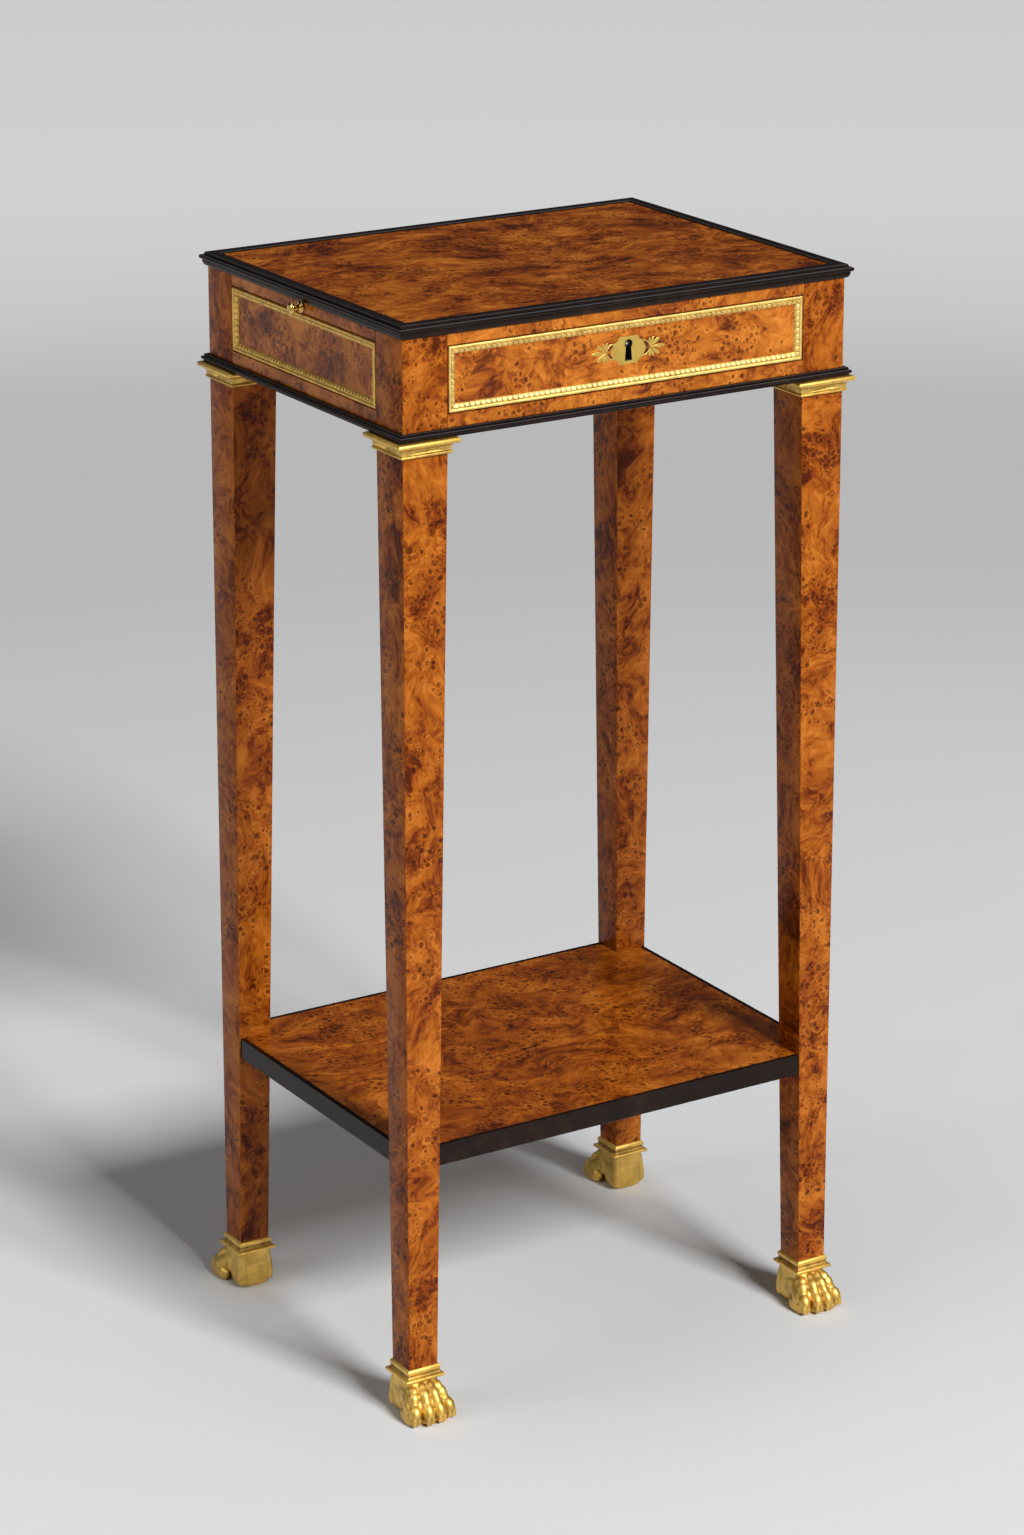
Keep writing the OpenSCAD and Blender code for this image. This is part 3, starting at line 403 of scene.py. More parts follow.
gilt = metal("mercury_gilding", (0.93, 0.60, 0.130), (0.17, 0.088, 0.016), (0.44, 0.60), burnish=0.45)
# Painted light: a paler copy of the same gilding, for the front frame that faces the lamp.
gilt_painted_pale_for_the_lit_front = metal("gilding_painted_pale_for_the_lit_front", (1.0, 0.74, 0.235), (0.34, 0.17, 0.024), (0.48, 0.62),
                  burnish=0.45)
plate_brass = metal("brushed_brass", (0.83, 0.575, 0.135), (0.50, 0.33, 0.075), (0.42, 0.54),
                    2600.0, 0.3, (1, 1, 0.05))
turned_brass = metal("turned_brass", (0.72, 0.48, 0.15), (0.32, 0.18, 0.045), (0.14, 0.24), 1500.0, 0.1)
lock_steel = metal("filed_steel", (0.50, 0.50, 0.51), (0.16, 0.15, 0.14), (0.25, 0.42),
                   1800.0, 0.3, (0.1, 1, 1))
# Near black colour that paints the shade inside the keyhole; it also colours the escutcheon's dark
# crescents.
painted_shade_and_dark_crescents, shader, place = new_material("painted_shade_and_dark_crescents")
painted_dark_tone = ramp(noise(place, 700.0), [(0.3, (0.002, 0.0016, 0.0014)), (0.7, (0.006, 0.005, 0.004))])
fill(shader, {"Base Color": painted_dark_tone, "Roughness": 0.85})
print("metals made")

# %% [markdown]
# Every new piece is a skin worked out with numpy: rings of points from a formula, or a profile carried
# round a path. Box modelling would give the same shapes with many clicks, but a formula can be read and
# changed. Each skin is closed. Its volume, summed over its faces, tells whether it is inside out, and if so
# it is turned.

# %% Helpers: closed skins
MM = 0.001


def skin(points, *blocks, hollow=None):
    """A closed shell in millimetres. Its volume is the sum of a . (b x c) over the triangles fanned from
    each face's first corner; a negative sum means that the faces look inwards, and they are turned over."""
    points = np.asarray(points, float).reshape(-1, 3)
    middle = points.mean(0)
    total = 0.0
    for block in blocks:
        for i in range(1, block.shape[1] - 1):
            a, b, c = (points[block[:, j]] - middle for j in (0, i, i + 1))
            total += np.einsum("ij,ij->", a, np.cross(b, c))
    if total < 0:
        blocks = [block[:, ::-1] for block in blocks]
    return {"points": points, "blocks": blocks, "hollow": hollow}


def grid_faces(rings, count, hoop):
    """Four-sided faces between neighbours of rings of count points; in a hoop the last ring meets the
    first."""
    row, column = np.meshgrid(np.arange(rings - (not hoop)), np.arange(count), indexing="ij")
    below, beside = (row + 1) % rings, (column + 1) % count
    corners = [row * count + column, row * count + beside, below * count + beside, below * count + column]
    return np.stack(corners, -1).reshape(-1, 4)


def tube(rings, hollow=None, first=0):
    """A closed skin through rings of points, with a flat cap on the first and on the last ring. First names
    the corner that each face starts at, and so the diagonal along which a curved face is cut in two."""
    rows, count = rings.shape[:2]
    sides = np.roll(grid_faces(rows, count, False), -first, axis=1)
    caps = np.array([np.arange(count)[::-1], np.arange(count) + (rows - 1) * count])
    return skin(rings, sides, caps, hollow=hollow)


def hoop(rings, hollow=None):
    """A closed skin through rings of points, the last of which is joined to the first."""
    return skin(rings, grid_faces(*rings.shape[:2], True), hollow=hollow)


def xyz(x, y, z):
    """Points from their three coordinates, each an array or one number for all."""
    return np.stack(np.broadcast_arrays(x, y, z), -1)


def read(rows, name, width=1, kind=float):
    """One property of a mesh's points, corners or faces as an array, width numbers for each."""
    flat = np.empty(len(rows) * width, kind)
    rows.foreach_get(name, flat)
    return flat.reshape(-1, width) if width > 1 else flat


def add_mesh(name, skins, material, sharp=35.0):
    """One object from closed skins, shaded smooth except over edges sharper than the angle."""
    faces, start = [], 0
    for one in skins:
        for block in one["blocks"]:
            faces += (block + start).tolist()
        start += len(one["points"])
    mesh = bpy.data.meshes.new(name)
    mesh.from_pydata((np.concatenate([one["points"] for one in skins]) * MM).tolist(), [], faces)
    mesh.shade_smooth()
    mesh.set_sharp_from_angle(angle=math.radians(sharp))
    if any(one["hollow"] is not None for one in skins):
        values = [np.zeros(len(one["points"])) if one["hollow"] is None else one["hollow"] for one in skins]
        layer = mesh.attributes.new("hollow", "FLOAT", "POINT")
        layer.data.foreach_set("value", np.concatenate(values).astype(np.float32))
    mesh.materials.append(material)
    made = bpy.data.objects.new(name, mesh)
    scene.collection.objects.link(made)
    return made


def fit_piece(name, skins, material, body, slot, *nodes, sharp=35.0):
    """The object, riding on its body, with the CAD nodes that it stands for hidden. The slot is not used."""
    made = add_mesh(name, skins, material, sharp)
    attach(made, body)
    if nodes:
        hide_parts(*nodes)
    return made


def lay_leaves(made, shift):
    """A UV map in metres named leaf: each face is laid flat along its strongest axis, and each of the six
    directions takes its own part of the veneer, as leaves glued on one by one."""
    mesh = made.data
    place = read(mesh.vertices, "co", 3)[read(mesh.loops, "vertex_index", kind=int)]
    facing = np.repeat(read(mesh.polygons, "normal", 3), read(mesh.polygons, "loop_total", kind=int), axis=0)
    axis = np.abs(facing + [1e-4, 0, 0]).argmax(1)
    side = np.take_along_axis(facing, axis[:, None], 1)[:, 0] > 0
    across = np.where(axis == 0, place[:, 1], place[:, 0])
    up = np.where(axis == 2, place[:, 1], place[:, 2])
    flat = np.stack([across + 0.77 * axis + 0.31 * side + shift, up + 0.23 * axis + 0.41 * side], 1)
    mesh.uv_layers.new(name="leaf").data.foreach_set("uv", flat.astype(np.float32).ravel())


def quarter_turn(x, y, quarters):
    """x and y turned anticlockwise by quarters of a turn: x cos - y sin and x sin + y cos."""
    c, s = math.cos(math.pi / 2 * quarters), math.sin(math.pi / 2 * quarters)
    return x * c - y * s, x * s + y * c


def arc(x, y, radius, start, end, steps=8, tall=None):
    """Points on part of a circle, or of an ellipse if tall gives its other radius; angles in degrees."""
    angle = np.radians(np.linspace(start, end, steps))
    return np.stack([x + radius * np.cos(angle), y + (tall or radius) * np.sin(angle)], 1)


def profile(*parts):
    """One outline from arcs and single points."""
    return np.concatenate([np.atleast_2d(part) for part in parts])


def turned(outline, centre, axis, sides=40, make=tube):
    """Profile of (distance along the axis, radius) spun about the axis, which is 1, 2 or 3 for x, y or z,
    with a minus where the distance runs against it. Tube closes the ends, hoop makes a ring."""
    angle = np.linspace(0, math.tau, sides, endpoint=False)
    along, radius = outline[:, :1], np.maximum(outline[:, 1:], 0.004)
    first, second = (i for i in range(3) if i != abs(axis) - 1)
    points = np.zeros((len(outline), sides, 3)) + centre
    points[..., first] += radius * np.cos(angle)
    points[..., second] += radius * np.sin(angle)
    points[..., abs(axis) - 1] += np.sign(axis) * along
    return make(points)


print("helpers for meshes ready")

# %% [markdown]
# These are the joiner's sizes, repeated from the CAD source in millimetres. The boxes of the CAD nodes give
# the same numbers, but naming them once keeps the formulas short. Each side of the frieze is worked out as
# the back and then turned, so it is named with its quarter turns, its half length and its distance from the
# middle.

# %% Sizes of the table
HALF_W, HALF_D = 170.0, 128.0
LEG_T, LEG_FOOT_T, FOOT_H = 33.0, 22.0, 35.5
FRIEZE_TOP, MOULDING_FOOT, CAPITAL_FOOT = 740.5, 674.5, 663.5
FIELD_TOP, FIELD_FOOT, FIELD_SINK = 733.2, 688.3, 2.5
SHELF_TOP, SHELF_T, SHELF_IN, EDGING_T = 192.0, 14.7, 1.0, 3.5
CORNERS = {"front_left": (-1, -1), "front_right": (1, -1), "back_left": (-1, 1), "back_right": (1, 1)}
SIDES = {"back": (0, HALF_W, HALF_D), "left": (1, HALF_D, HALF_W),
         "front": (2, HALF_W, HALF_D), "right": (3, HALF_D, HALF_W)}


def leg_size(z):
    """Side of a leg's square section at height z: it grows evenly from the foot to the capital, then
    stays."""
    return float(np.interp(z, [FOOT_H, CAPITAL_FOOT], [LEG_FOOT_T, LEG_T]))


print("frieze", 2 * HALF_W, "x", 2 * HALF_D, "mm, leg at the shelf", round(leg_size(SHELF_TOP), 2), "mm")

# %% [markdown]
# A leg is square, plumb on its two outer faces and tapered on its two inner faces, and it runs up past the
# frieze as the corner stile. The CAD solid has knife-sharp edges. Real veneered edges are rubbed back a
# little, and that thin round catches the light, so the leg is built again with an edge radius of half a
# millimetre.

# %% Legs
def rounded_ring(half_x, half_y, radius, steps=4):
    """Points round a rectangle whose corners are quarter circles, and the outward signs of each point: a
    corner's centre is the half size less the radius, times the signs, and cosine and sine times the radius
    go on top."""
    signs = np.repeat([(1, 1), (-1, 1), (-1, -1), (1, -1)], steps, axis=0)
    angle = np.radians(np.add.outer([0, 90, 180, 270], np.linspace(0, 90, steps))).ravel()
    round_corner = radius * np.stack([np.cos(angle), np.sin(angle)], 1)
    return signs * (np.array([half_x, half_y]) - radius) + round_corner, signs


def leg_skin(x_side, y_side):
    """Square rings of the leg's size at each level, pushed into the corner so that the outer faces stay
    plumb."""
    rings = []
    for z in (FOOT_H, 200.0, 420.0, CAPITAL_FOOT, FRIEZE_TOP):
        half = leg_size(z) / 2
        x, y = rounded_ring(half, half, 0.5)[0].T
        rings.append(xyz(x_side * (x + HALF_W - half), y_side * (y + HALF_D - half), z))
    return tube(np.array(rings))


for number, (corner, signs) in enumerate(CORNERS.items()):
    leg = fit_piece("post_" + corner, [leg_skin(*signs)], burr_leg, "table", "burr_veneer", "leg_" + corner)
    lay_leaves(leg, 0.53 * number)
print("legs:", sorted(CORNERS))

# %% [markdown]
# Mouldings are planed as long strips and mitred at the corners. In Blender a curve with a bevel object
# would round the mitres off. Here each strip is its profile carried along its side, and every point of the
# profile runs on to the mitre line, so the corners meet sharp and true. The shelf has a plain black edging
# over its whole thickness that stops against the legs: the same strip, with slightly eased edges and square
# ends.

# %% Black mouldings and shelf edging
TOP_PROFILE = profile(
    (-6.6, 0.0), (0.3, 0.0), arc(0.3, 4.1, 2.5, -88, 0, 8, 4.1), (2.8, 4.5),
    arc(3.0, 6.05, 1.5, -75, 100, 11), (2.2, 7.35), (1.85, 7.4), arc(0.8, 8.55, 0.95, -25, 80, 7),
    (-0.6, 9.45), (-2.6, 9.3), (-4.4, 9.3), arc(-5.7, 8.55, 0.9, 80, 180, 7), (-6.6, 7.6))
BASE_PROFILE = profile(
    (0.0, 0.0), (2.7, 0.0), (3.05, 0.35), (3.05, 1.2), arc(3.1, 2.5, 1.3, -80, 85, 9), (2.35, 3.9),
    arc(2.0, 4.62, 0.82, -60, 85, 7), (1.6, 5.5), (0.0, 5.5))
EDGING_PROFILE = rounded_ring(EDGING_T / 2, SHELF_T / 2, 0.35, 2)[0]
EDGING_PROFILE += [-SHELF_IN - EDGING_T / 2, SHELF_T / 2]
MITRE_GAP, LEG_OVERLAP = 0.06, 0.2


def shoulders(outline):
    """-1 on the rounded shoulders that look half up, where the black finish paints a cool highlight, 0 on
    flats
    and sides: |u - 0.8| / 0.2 - 1, held below 0, where u is the upward part of the outward normal: minus the
    sideways step between neighbours over its length."""
    step = np.roll(outline, -1, 0) - np.roll(outline, 1, 0)
    upward = -step[:, 0] / np.linalg.norm(step, axis=1)
    return (np.abs(upward - 0.8) / 0.2 - 1).clip(-1, 0)


def strip(outline, half_length, half_depth, foot, quarter, stations=(-1, 1), hollow=None):
    """Outline of (outwards, up) carried along X at the back, to each station's share of the half length,
    then turned by quarters of a turn. For mitred ends, half length holds one number for each point of the
    outline."""
    out, up = outline.T
    ends = np.outer(stations, half_length + 0 * out)
    return tube(xyz(*quarter_turn(ends, half_depth + out, quarter), foot + up), hollow)


STATIONS = (-1, -0.34, 0.33, 1)
KINDS = (("top_moulding_", TOP_PROFILE, FRIEZE_TOP), ("base_moulding_", BASE_PROFILE, MOULDING_FOOT))
for side, (quarter, half_length, half_depth) in SIDES.items():
    for kind, outline, foot in KINDS:
        mitred = half_length + outline[:, 0] - MITRE_GAP
        # These numbers tell the black finish where to paint its cool highlight.
        hollow = np.tile(shoulders(outline), len(STATIONS))
        moulding = strip(outline, mitred, half_depth, foot, quarter, STATIONS, hollow)
        name = kind + side
        fit_piece("run_of_" + name, [moulding], ebony, "table", "ebonised_wood", name, sharp=32)
    square = half_length - leg_size(SHELF_TOP) + LEG_OVERLAP
    bar = strip(EDGING_PROFILE, square, half_depth, SHELF_TOP - SHELF_T, quarter)
    fit_piece("lipping_" + side, [bar], ebony, "table", "ebonised_wood", "shelf_edging_" + side)
print("mouldings and shelf edging on", list(SIDES))

# %% [markdown]
# A gilt capital grips each leg under the frieze. From the top it has a broad rounded nose, a hollow, a flat
# band with the head of a small pin sunk in each face, and a bead. It is one profile carried round a square.
# The pin holes are cut by a Boolean, since a hole is the one thing that a carried profile can't give.

# %% Capitals
BAND_OUT, PIN_UP, PIN_R = 1.82, 4.4, 0.75
CAPITAL_PROFILE = profile(
    (0.04, 0.0), (1.0, 0.0), arc(1.25, 1.15, 1.1, -80, 80, 8), (1.5, 2.3), (BAND_OUT, 2.5), (BAND_OUT, 4.9),
    arc(4.9, 5.0, 2.95, 180, 96, 8, 2.1), (5.1, 7.2), arc(4.6, 9.05, 1.9, -62, 72, 10), (4.6, 10.9),
    (3.4, 11.0), (0.04, 11.0))
# Painted shade on the capital: darker where the bead meets the band, on the band and in the cove.
CAPITAL_PAINTED_SHADE = np.interp(CAPITAL_PROFILE[:, 1], [0, 2.3, 2.5, 4.9, 5.8, 7.2, 7.6, 11],
                           [0.1, 0.5, 0.25, 0.25, 0.5, 0.45, 0, 0])


def carried_round(outline, hollow, centre, half, foot):
    """Outline carried round a square with small rounded corners: a point moves out by its distance on both
    axes."""
    ring, signs = rounded_ring(half, half, 0.22)
    flat = ring + signs * outline[:, None, :1] + centre
    return hoop(xyz(flat[..., 0], flat[..., 1], foot + outline[:, 1:]), np.repeat(hollow, len(ring)))


def cut(made, cutters):
    """Cuts the cutters out of the object with a Boolean, whose result becomes the object's own mesh."""
    tool = add_mesh("cutter", cutters, made.data.materials[0])
    modifier = made.modifiers.new("holes", "BOOLEAN")
    modifier.operation, modifier.solver, modifier.object = "DIFFERENCE", "EXACT", tool
    result = bpy.data.meshes.new_from_object(made.evaluated_get(bpy.context.evaluated_depsgraph_get()))
    made.modifiers.clear()
    made.data = result
    bpy.data.objects.remove(tool)


def paint_shade_in_pin_holes(mesh, spot, reach):
    """Marks the points of the pin holes as deep hollows, so that the gilding paints shade into them: those
    near the hole's middle line and behind the band's face."""
    offset = np.abs(read(mesh.vertices, "co", 3) / MM - spot)
    held = np.zeros(len(offset), bool)
    for axis in (0, 1):
        near = np.hypot(offset[:, 1 - axis], offset[:, 2]) < PIN_R + 0.15
        held |= near & (offset[:, axis] < reach - 0.5)
    stored = mesh.attributes["hollow"].data
    stored.foreach_set("value", np.where(held, 1.6, read(stored, "value")).astype(np.float32))


for corner, signs in CORNERS.items():
    centre = signs * np.array([HALF_W - LEG_T / 2, HALF_D - LEG_T / 2])
    ring = carried_round(CAPITAL_PROFILE, CAPITAL_PAINTED_SHADE, centre, LEG_T / 2, CAPITAL_FOOT)
    capital = fit_piece("collar_" + corner, [ring], gilt, "table", "gilt_bronze", "capital_" + corner)
    spot, reach = [*centre, CAPITAL_FOOT + PIN_UP], LEG_T / 2 + BAND_OUT
    drill = profile((reach - 0.9, PIN_R), (reach + 2, PIN_R))
    cut(capital, [turned(drill, spot, axis, 20) for axis in (-1, 1, -2, 2)])
    paint_shade_in_pin_holes(capital.data, np.array(spot), reach)
    print(capital.name, len(capital.data.polygons), "faces")

# %% [markdown]
# The paw feet are small castings: a collar, a heel, and four long toes with two knuckles and split claws.
# Sculpting by hand can't be written down, so the flesh is put together from rounded limbs and pillows that
# overlap, a voxel remesh melts them into one skin, and a little smoothing runs the forms together.

# %% Helpers: limbs and pillows
def smooth_line(values, steps):
    """Values run through smoothly: between two of them, the cubic that also heads for their neighbours."""
    values = np.asarray(values, float)
    padded = np.concatenate([[2 * values[0] - values[1]], values, [2 * values[-1] - values[-2]]])
    t = np.linspace(0, len(values) - 1 - 1e-9, steps)
    i = t.astype(int)
    f = (t - i).reshape(-1, *[1] * (values.ndim - 1))
    p0, p1, p2, p3 = (padded[i + k] for k in range(4))
    squared, cubed = (2 * p0 - 5 * p1 + 4 * p2 - p3) * f ** 2, (3 * p1 - p0 - 3 * p2 + p3) * f ** 3
    return 0.5 * (2 * p1 + (p2 - p0) * f + squared + cubed)


def unit(rows):
    """Each row over its own length."""
    return rows / np.linalg.norm(rows, axis=1)[:, None]


def limb(path, radii, steps=26, sides=20):
    """A rounded limb in a plane of constant lean: rings round a smooth line, whose radius runs smoothly too
    and closes like a ball at both ends."""
    line = smooth_line(path, steps)
    ends = np.sqrt(1 - ((np.abs(np.linspace(-1, 1, steps)) - 0.86) / 0.14).clip(0, 1) ** 2)
    ahead = unit(np.gradient(line, axis=0))
    across = unit(np.cross(ahead, [1.0, 0, 0]))
    beside = np.cross(across, ahead)
    angle = np.linspace(0, math.tau, sides, endpoint=False)[None, :, None]
    size = (smooth_line(radii, steps) * np.maximum(ends, 0.02))[:, None, None]
    return tube(line[:, None] + size * (np.cos(angle) * across[:, None] + np.sin(angle) * beside[:, None]))


def pillow(centre, half, power=3.0, steps=28):
    """A superellipsoid: |x/a|^p + |y/b|^p + |z/c|^p = 1, a box whose edges are as soft as the power is
    low."""
    u = np.linspace(-math.pi / 2 + 0.01, math.pi / 2 - 0.01, steps)[:, None]
    v = np.linspace(-math.pi, math.pi, steps * 2, endpoint=False)[None]
    waves = np.cos(u), np.sin(u), np.cos(v), np.sin(v)
    cos_u, sin_u, cos_v, sin_v = (np.sign(wave) * np.abs(wave) ** (2 / power) for wave in waves)
    return tube(xyz(cos_u * cos_v, cos_u * sin_v, sin_u) * half + centre)


def melt(skins, voxel, passes):
    """One outer skin from overlapping ones: a voxel remesh, then each point moves towards its neighbours'
    mean."""
    lump = add_mesh("lump", skins, gilt)
    remesh = lump.modifiers.new("melt", "REMESH")
    remesh.mode, remesh.voxel_size = "VOXEL", voxel * MM
    soften = lump.modifiers.new("soften", "SMOOTH")
    soften.factor, soften.iterations = 0.5, passes
    made = lump.evaluated_get(bpy.context.evaluated_depsgraph_get()).to_mesh()
    points, faces = read(made.vertices, "co", 3) / MM, read(made.loops, "vertex_index", kind=int)
    bpy.data.objects.remove(lump)
    return points, faces.reshape(-1, 4)


print("helpers for carved forms ready")

# %% [markdown]
# Seen from the side, the heel is a smooth tall bulge and the outer toe starts beyond a notch. Seen from the
# front, each toe drops steeply from a knuckle under the collar, over a second knuckle, to a claw on the
# floor. The two middle toes stand forward. Claws are pairs of small horns with a cleft between them.

# %% The paw's flesh
# Rows of a toe: distance from the middle per lane, place forward, share by which an outer toe stands back,
# and height.
TOE_PATH = np.array([
    (5.2, 3.0, 0, 19.4), (5.8, 9.0, 0, 21.2), (6.1, 12.7, 0, 21.5), (6.5, 15.4, 0.4, 20.2),
    (7.0, 18.0, 0.7, 18.2), (7.8, 21.2, 0.9, 13.6), (8.5, 24.7, 1, 9.6), (8.9, 26.0, 1, 4.4)])


def toe_skins(lane):
    """One toe, its lane counted from the paw's middle. Its limb swells at three knuckles and thins between
    them. Toes fan out towards their tips, and the outer ones stand back and a little lower."""
    back, drop = (3.0, 1.4) if abs(lane) > 1 else (0.0, 0.0)
    x, y, share, z = TOE_PATH.T
    path = xyz(lane * x, y - share * back, z - drop * (z > 12))
    toe = limb(path, [3.8, 3.8, 3.8, 3.5, 4.1, 3.5, 4.2, 3.9], 40)
    tip = lane * 8.95
    pad = pillow((tip * 1.01, 18.2 - back, 4.4), (4.05, 9.4, 5.2), 2.6, 20)
    claw = np.array([(1.35, 25.6, 8.2), (1.6, 27.6, 5.6), (1.6, 28.1, 1.4)])
    claws = [limb(claw * [side, 1, 1] + [tip, -back, 0], [1.9, 1.85, 1.55], 16, 12) for side in (-1, 1)]
    return [toe, pad, *claws]


flesh = [pillow((0, y, z), half, power) for y, z, half, power in (
    (-0.6, 19.5, (12.5, 12.4, 10.5), 5.0), (-4.2, 10.5, (13.2, 9.4, 11.2), 4.0),
    (5.5, 17.5, (12.6, 9.0, 9.2), 3.4), (6.6, 14.0, (13.9, 10.0, 9.4), 3.4),
    (9.4, 18.2, (12.6, 6.6, 6.4), 3.0), (14.5, 8.6, (13.2, 9.0, 8.4), 3.0))]
heel = np.array([(9.3, -9.3, 25.5), (10.0, -9.9, 16.0), (10.5, -10.1, 8.0), (10.0, -9.7, 3.2)])
flank = np.array([(7.6, 7.0, 16.8), (9.3, 11.0, 13.0), (10.8, 15.6, 9.2), (11.4, 19.0, 7.2)])
for side in (-1, 1):
    flesh.append(limb(heel * [side, 1, 1], [2.9, 3.4, 3.7, 3.4]))
    flesh.append(limb(flank * [side, 1, 1], [6.0, 6.5, 6.6, 6.2]))
for lane in (-1.5, -0.5, 0.5, 1.5):
    flesh += toe_skins(lane)
paw_points, paw_faces = melt(flesh, 0.38, 8)
print("paw:", len(paw_points), "points, reach", paw_points.max(0).round(1), paw_points.min(0).round(1))

# %% [markdown]
# Two things are left for the paw. Its sole is pressed flat on the floor, and each point learns how hollow
# its place is: the mean of its neighbours lies above it in a groove and below it on a knuckle. The gilding
# uses that number to paint shade into the grooves, along with a little of the dark that wax and age leave.

# %% Sole, hollows and the four feet
def hollowness(points, faces, passes=4):
    """How far the neighbours' mean lies along the outward normal, in millimetres, evened out over a few
    passes."""
    after = np.roll(faces, -1, 1)
    a, b = np.concatenate([faces, after]).ravel(), np.concatenate([after, faces]).ravel()
    count = np.bincount(a, minlength=len(points))[:, None]
    normal = np.cross(points[faces[:, 2]] - points[faces[:, 0]], points[faces[:, 3]] - points[faces[:, 1]])
    normals = np.zeros_like(points)
    for i in range(4):
        np.add.at(normals, faces[:, i], normal)
    smooth = points
    for _ in range(passes):
        smooth = np.stack([np.bincount(a, smooth[b, k], len(points)) for k in range(3)], 1) / count
    return np.einsum("ij,ij->i", smooth - points, unit(normals))


PAW_LOW, PAW_HIGH = (-17.6, -14.2, 0.0), (17.6, 29.8, 27.4)
# Painted shade in the paw's grooves, from how hollow each point lies.
paw_painted_shade = np.interp(hollowness(paw_points, paw_faces), [-0.12, 0.0, 0.2], [0.0, 0.2, 1.0])
paw_points = paw_points.clip(PAW_LOW, PAW_HIGH)
PAW_COLLAR = profile(
    (0.04, 0.0), (3.0, 0.0), arc(3.1, 0.55, 0.6, -70, 0, 4), arc(3.1, 1.35, 0.6, 0, 80, 4), (2.8, 2.05),
    arc(2.7, 4.3, 1.75, 268, 182, 8, 2.15), (0.95, 4.45), (1.25, 4.75), (1.45, 5.4), (1.5, 6.1), (1.4, 6.8),
    (1.15, 7.5), (0.8, 8.0), (0.35, 8.3), (0.04, 8.4))
# Painted shade in the collar's cove.
COLLAR_PAINTED_SHADE = np.interp(PAW_COLLAR[:, 1], [0, 1.9, 2.3, 4.5, 5.0, 8.4], [0, 0, 0.6, 0.95, 0, 0])
for corner, signs in CORNERS.items():
    centre = np.array([HALF_W - LEG_FOOT_T / 2, HALF_D - LEG_FOOT_T / 2])
    body = skin((paw_points + [*centre, 0]) * [*signs, 1], paw_faces, hollow=paw_painted_shade)
    collar = carried_round(PAW_COLLAR, COLLAR_PAINTED_SHADE, centre * signs, LEG_FOOT_T / 2, FOOT_H - 8.4)
    fit_piece("foot_" + corner, [body, collar], gilt, "table", "gilt_bronze", "paw_" + corner, sharp=42)
print("feet:", len(CORNERS), "with", len(paw_faces), "faces each in the flesh")

# %% [markdown]
# Each frieze panel sits in a gilt frame of leaf-tip moulding: a smooth fillet outside, then small rounded
# leaves that point inwards, one every four millimetres. Carving each leaf as its own object would take
# hundreds of objects, so the strip is one surface whose height is a formula of the place along it and
# across it.

# %% Gilt leaf-tip frames
LEAF_PITCH, GILT_W, SHADOW_GAP, MITRED_END = 4.0, 5.5, 0.9, 8.0
ACROSS, BASE = np.array([
    (0.0, 0.0), (0.0, 2.3), (0.12, 2.7), (0.45, 2.98), (0.95, 3.06), (1.5, 3.0), (1.95, 2.8), (2.2, 2.35),
    (2.38, 2.0), (2.6, 2.05), (2.95, 2.1), (3.4, 2.05), (3.9, 1.92), (4.35, 1.75), (4.75, 1.55), (5.15, 1.3),
    (5.5, 1.05), (5.5, 0.0)]).T
GROOVE, ROOT, TIP, SAMPLES = 8, 2.38, 5.28, 8


def leaf_height(along, across):
    """Added height of the leaves: a flat dome over each, 1 - |u / w|^5 under a root, where u is the place
    across the leaf and w its half width, full at the root and rounded at the tip; a thin rib and darts in
    the gaps."""
    u = np.mod(along / LEAF_PITCH, 1.0) - 0.5
    run = (across - ROOT) / (TIP - ROOT)
    width = 0.475 * np.sqrt(np.clip(1 - (np.clip(run - 0.7, 0, 1) / 0.32) ** 2, 0.001, 1))
    dome = np.sqrt(np.clip(1 - np.abs(u / width) ** 5, 0, 1)) * (run > 0) * (run < 0.99)
    rib = 0.10 * np.exp(-(u / 0.07) ** 2) * dome * (1 - run)
    dart = np.exp(-((np.abs(u) - 0.5) / 0.07) ** 2) * np.clip(run - 0.6, 0, 0.4)
    return 0.65 * dome * (1 - 0.8 * run ** 2) + rib + 0.4 * dart * (run < 0.99), dome + dart


def gilt_strip(length):
    """A strip along X, from its outer edge at y = 0 inwards, height in z. Near its ends the points close up
    to the mitre, and the leaves are simply cut off there, as on a strip sawn to length."""
    even = np.linspace(-1, 1, int(round(length / LEAF_PITCH)) * SAMPLES + 1)[:, None] * length / 2
    limit = length / 2 - MITRED_END
    excess = (np.abs(even) - limit).clip(0) / MITRED_END
    mitre = length / 2 - 0.05 - ACROSS
    along = np.sign(even) * (np.minimum(np.abs(even), limit) + excess * (mitre - limit))
    across = np.broadcast_to(ACROSS, along.shape)
    rise, bright = leaf_height(along, across)
    inside = (ACROSS > ROOT) & (ACROSS < TIP)
    # Painted shade between the leaves and in the groove: 1 less the leaves' cover, and 0.9 in the groove.
    hollow = np.where(inside, 1 - np.clip(bright, 0, 1), 0.0)
    hollow[:, GROOVE] = 0.9
    return along, across, BASE + rise * inside, hollow.ravel()


def frame_skins(width, height, quarter, distance):
    """Four strips round a rectangle, set in the frieze's sunk field on the side that the quarter turns
    give."""
    skins = []
    for turn in range(4):
        length, reach = (width, height / 2) if turn % 2 == 0 else (height, width / 2)
        along, across, rise, hollow = gilt_strip(length)
        flat, up = quarter_turn(along, across - reach, turn)
        x, y = quarter_turn(flat, distance - FIELD_SINK + rise, quarter)
        skins.append(tube(xyz(x, y, (FIELD_TOP + FIELD_FOOT) / 2 + up), hollow, first=1))
    return skins


